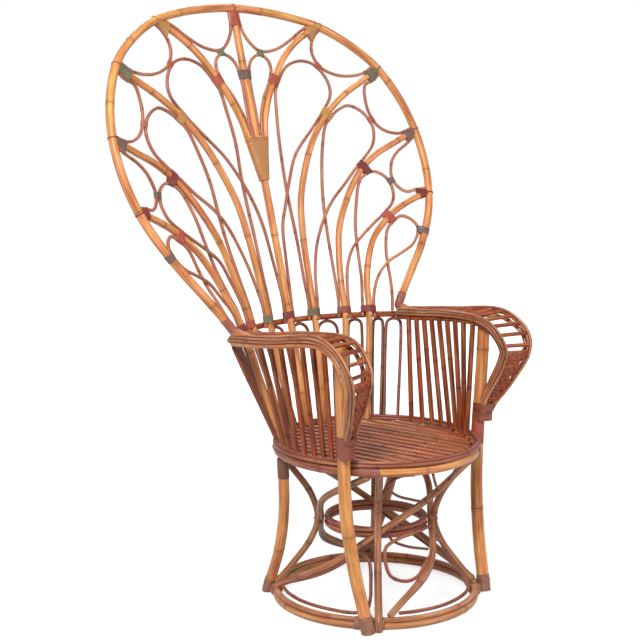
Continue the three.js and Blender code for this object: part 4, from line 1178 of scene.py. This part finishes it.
def nail(place, way, size=large_nail_size):
    """A low round head on a surface, facing a way."""
    way = way / np.linalg.norm(way)
    side = np.cross(way, [0.3, 0.2, 0.9])
    side /= np.linalg.norm(side)
    rise = np.cross(side, way)
    turns = np.linspace(0, 2 * math.pi, 12, endpoint=False)
    rings = []
    for reach, height in ((1, -0.3), (1, 0.1), (0.85, 0.35), (0.5, 0.55), (0.1, 0.62)):
        rings.append([place + size * (reach * (math.cos(t) * side + math.sin(t) * rise) + height * way)
                      for t in turns])
    heights = np.arange(len(rings)) * size
    nails.add(np.array(rings), grain_of(turns, heights), np.full(len(rings), joint_reach), 0)


for rib in range(5):
    for word in rib_hands(rib):
        line = flip(rib_paths[rib], word)
        if line.line[-1][2] < rail_level:
            place = line.at(line.at_height(rail_level))
            out = np.array([-2 * fan_bow(rail_height) * place[0], -1, 0])
            nail(place + out / np.linalg.norm(out) * rib_radii[rib] * 1.02, out, nail_size)
for index in range(4):
    out = polar(1, 45 + 90 * index, 0)
    nail(out * (curved_reach + curved_radius * 1.02) + [0, 0, waist_height], out)
    nail(out * (seat_radius + seat_pole_radius * 1.02) + [0, 0, seat_pole_height], out)
for path, radius in ((leg_path, leg_radius), (back_leg_path, back_leg_radius)):
    for word in hands:
        place = flip(path, word).at(path.length - 0.03)
        out = place * [1, 1, 0]
        nail(place + out / np.linalg.norm(out) * (radius + 0.0012), out)
nails.build("nails", nail_metal, "dark_slat")

for word, made in wound.items():
    if made.count:
        made.build("windings_" + word, winding_colours[word], "straw_binding")


# Stage
white = (1, 1, 1, 1)


def white_stage(name, shade):
    """A surface that the camera sees as white, apart from the shadows that fall on it."""
    made = Nodes(bpy.data.materials.new(name))
    made.shade({"Base Color": (shade, shade, shade, 1), "Roughness": 0.9})
    rays = made.node("LightPath").outputs
    seen = made.maths("MAXIMUM", rays["Is Camera Ray"], rays["Is Glossy Ray"])
    place = made.node("TexCoord").outputs["Object"]
    distance = made.node("VectorMath", {0: place}, operation="LENGTH").outputs["Value"]
    strength = made.maths("MULTIPLY", seen, made.span(distance, 1.0, 2.6, 0.7, 1.0))
    glow = made.node("Emission", {"Color": white, "Strength": strength})
    surface = made.tree.nodes["Principled BSDF"]
    total = made.node("AddShader", {0: surface.outputs[0], 1: glow.outputs[0]})
    made.feed(made.tree.nodes["Material Output"].inputs["Surface"], total.outputs[0])
    return made.owner


floor_half = 7.0
corners = [(x * floor_half, y * floor_half, 0) for x, y in ((-1, -1), (1, -1), (1, 1), (-1, 1))]
floor_mesh = bpy.data.meshes.new("floor")
floor_mesh.from_pydata(corners, [], [(0, 1, 2, 3)])
floor_mesh.materials.append(white_stage("floor_white", 0.45))
new_object("floor", floor_mesh)

# The world lights the chair at one strength, and the camera sees it at another.
sky = Nodes(bpy.data.worlds.new("studio"))
bpy.context.scene.world = sky.owner
light = sky.tree.nodes["Background"]
sky.feed(light.inputs["Color"], white)
sky.feed(light.inputs["Strength"], 0.4)
plain = sky.node("Background", {"Color": white, "Strength": 1.0})
seen = sky.node("LightPath").outputs["Is Camera Ray"]
both_skies = sky.node("MixShader", {0: seen, 1: light.outputs[0], 2: plain.outputs[0]})
sky.feed(sky.tree.nodes["World Output"].inputs["Surface"], both_skies.outputs[0])


def lamp(name, place, target, size, power):
    data = bpy.data.lights.new(name, "AREA")
    data.shape = "DISK"
    data.size = size
    data.energy = power
    made = new_object(name, data)
    made.location = place
    way = np.array(target) - np.array(place)
    yaw = math.atan2(way[0], way[1])
    pitch = math.atan2(way[2], math.hypot(way[0], way[1]))
    made.rotation_euler = (math.pi / 2 + pitch, 0, -yaw)


middle = (0, 0, 0.8)
lamp("key", (-3.0, -1.8, 3.4), middle, 1.4, 150)
lamp("fill", (1.6, -3.6, 2.4), middle, 2.4, 45)
lamp("back", (1.5, 3.2, 3.2), middle, 2.0, 60)

# Camera
camera_data = bpy.data.cameras.new("camera")
camera_data.sensor_width = 36
camera_data.lens = 82.29
camera_data.clip_end = 60
camera = new_object("camera", camera_data)
camera.location = np.array([-2.6803, -2.5147, 1.3085]) + seat_centre
camera.rotation_euler = (math.radians(90 - 9.017), 0, math.radians(-44.566))
bpy.context.scene.camera = camera
bpy.context.scene.view_settings.view_transform = "Standard"
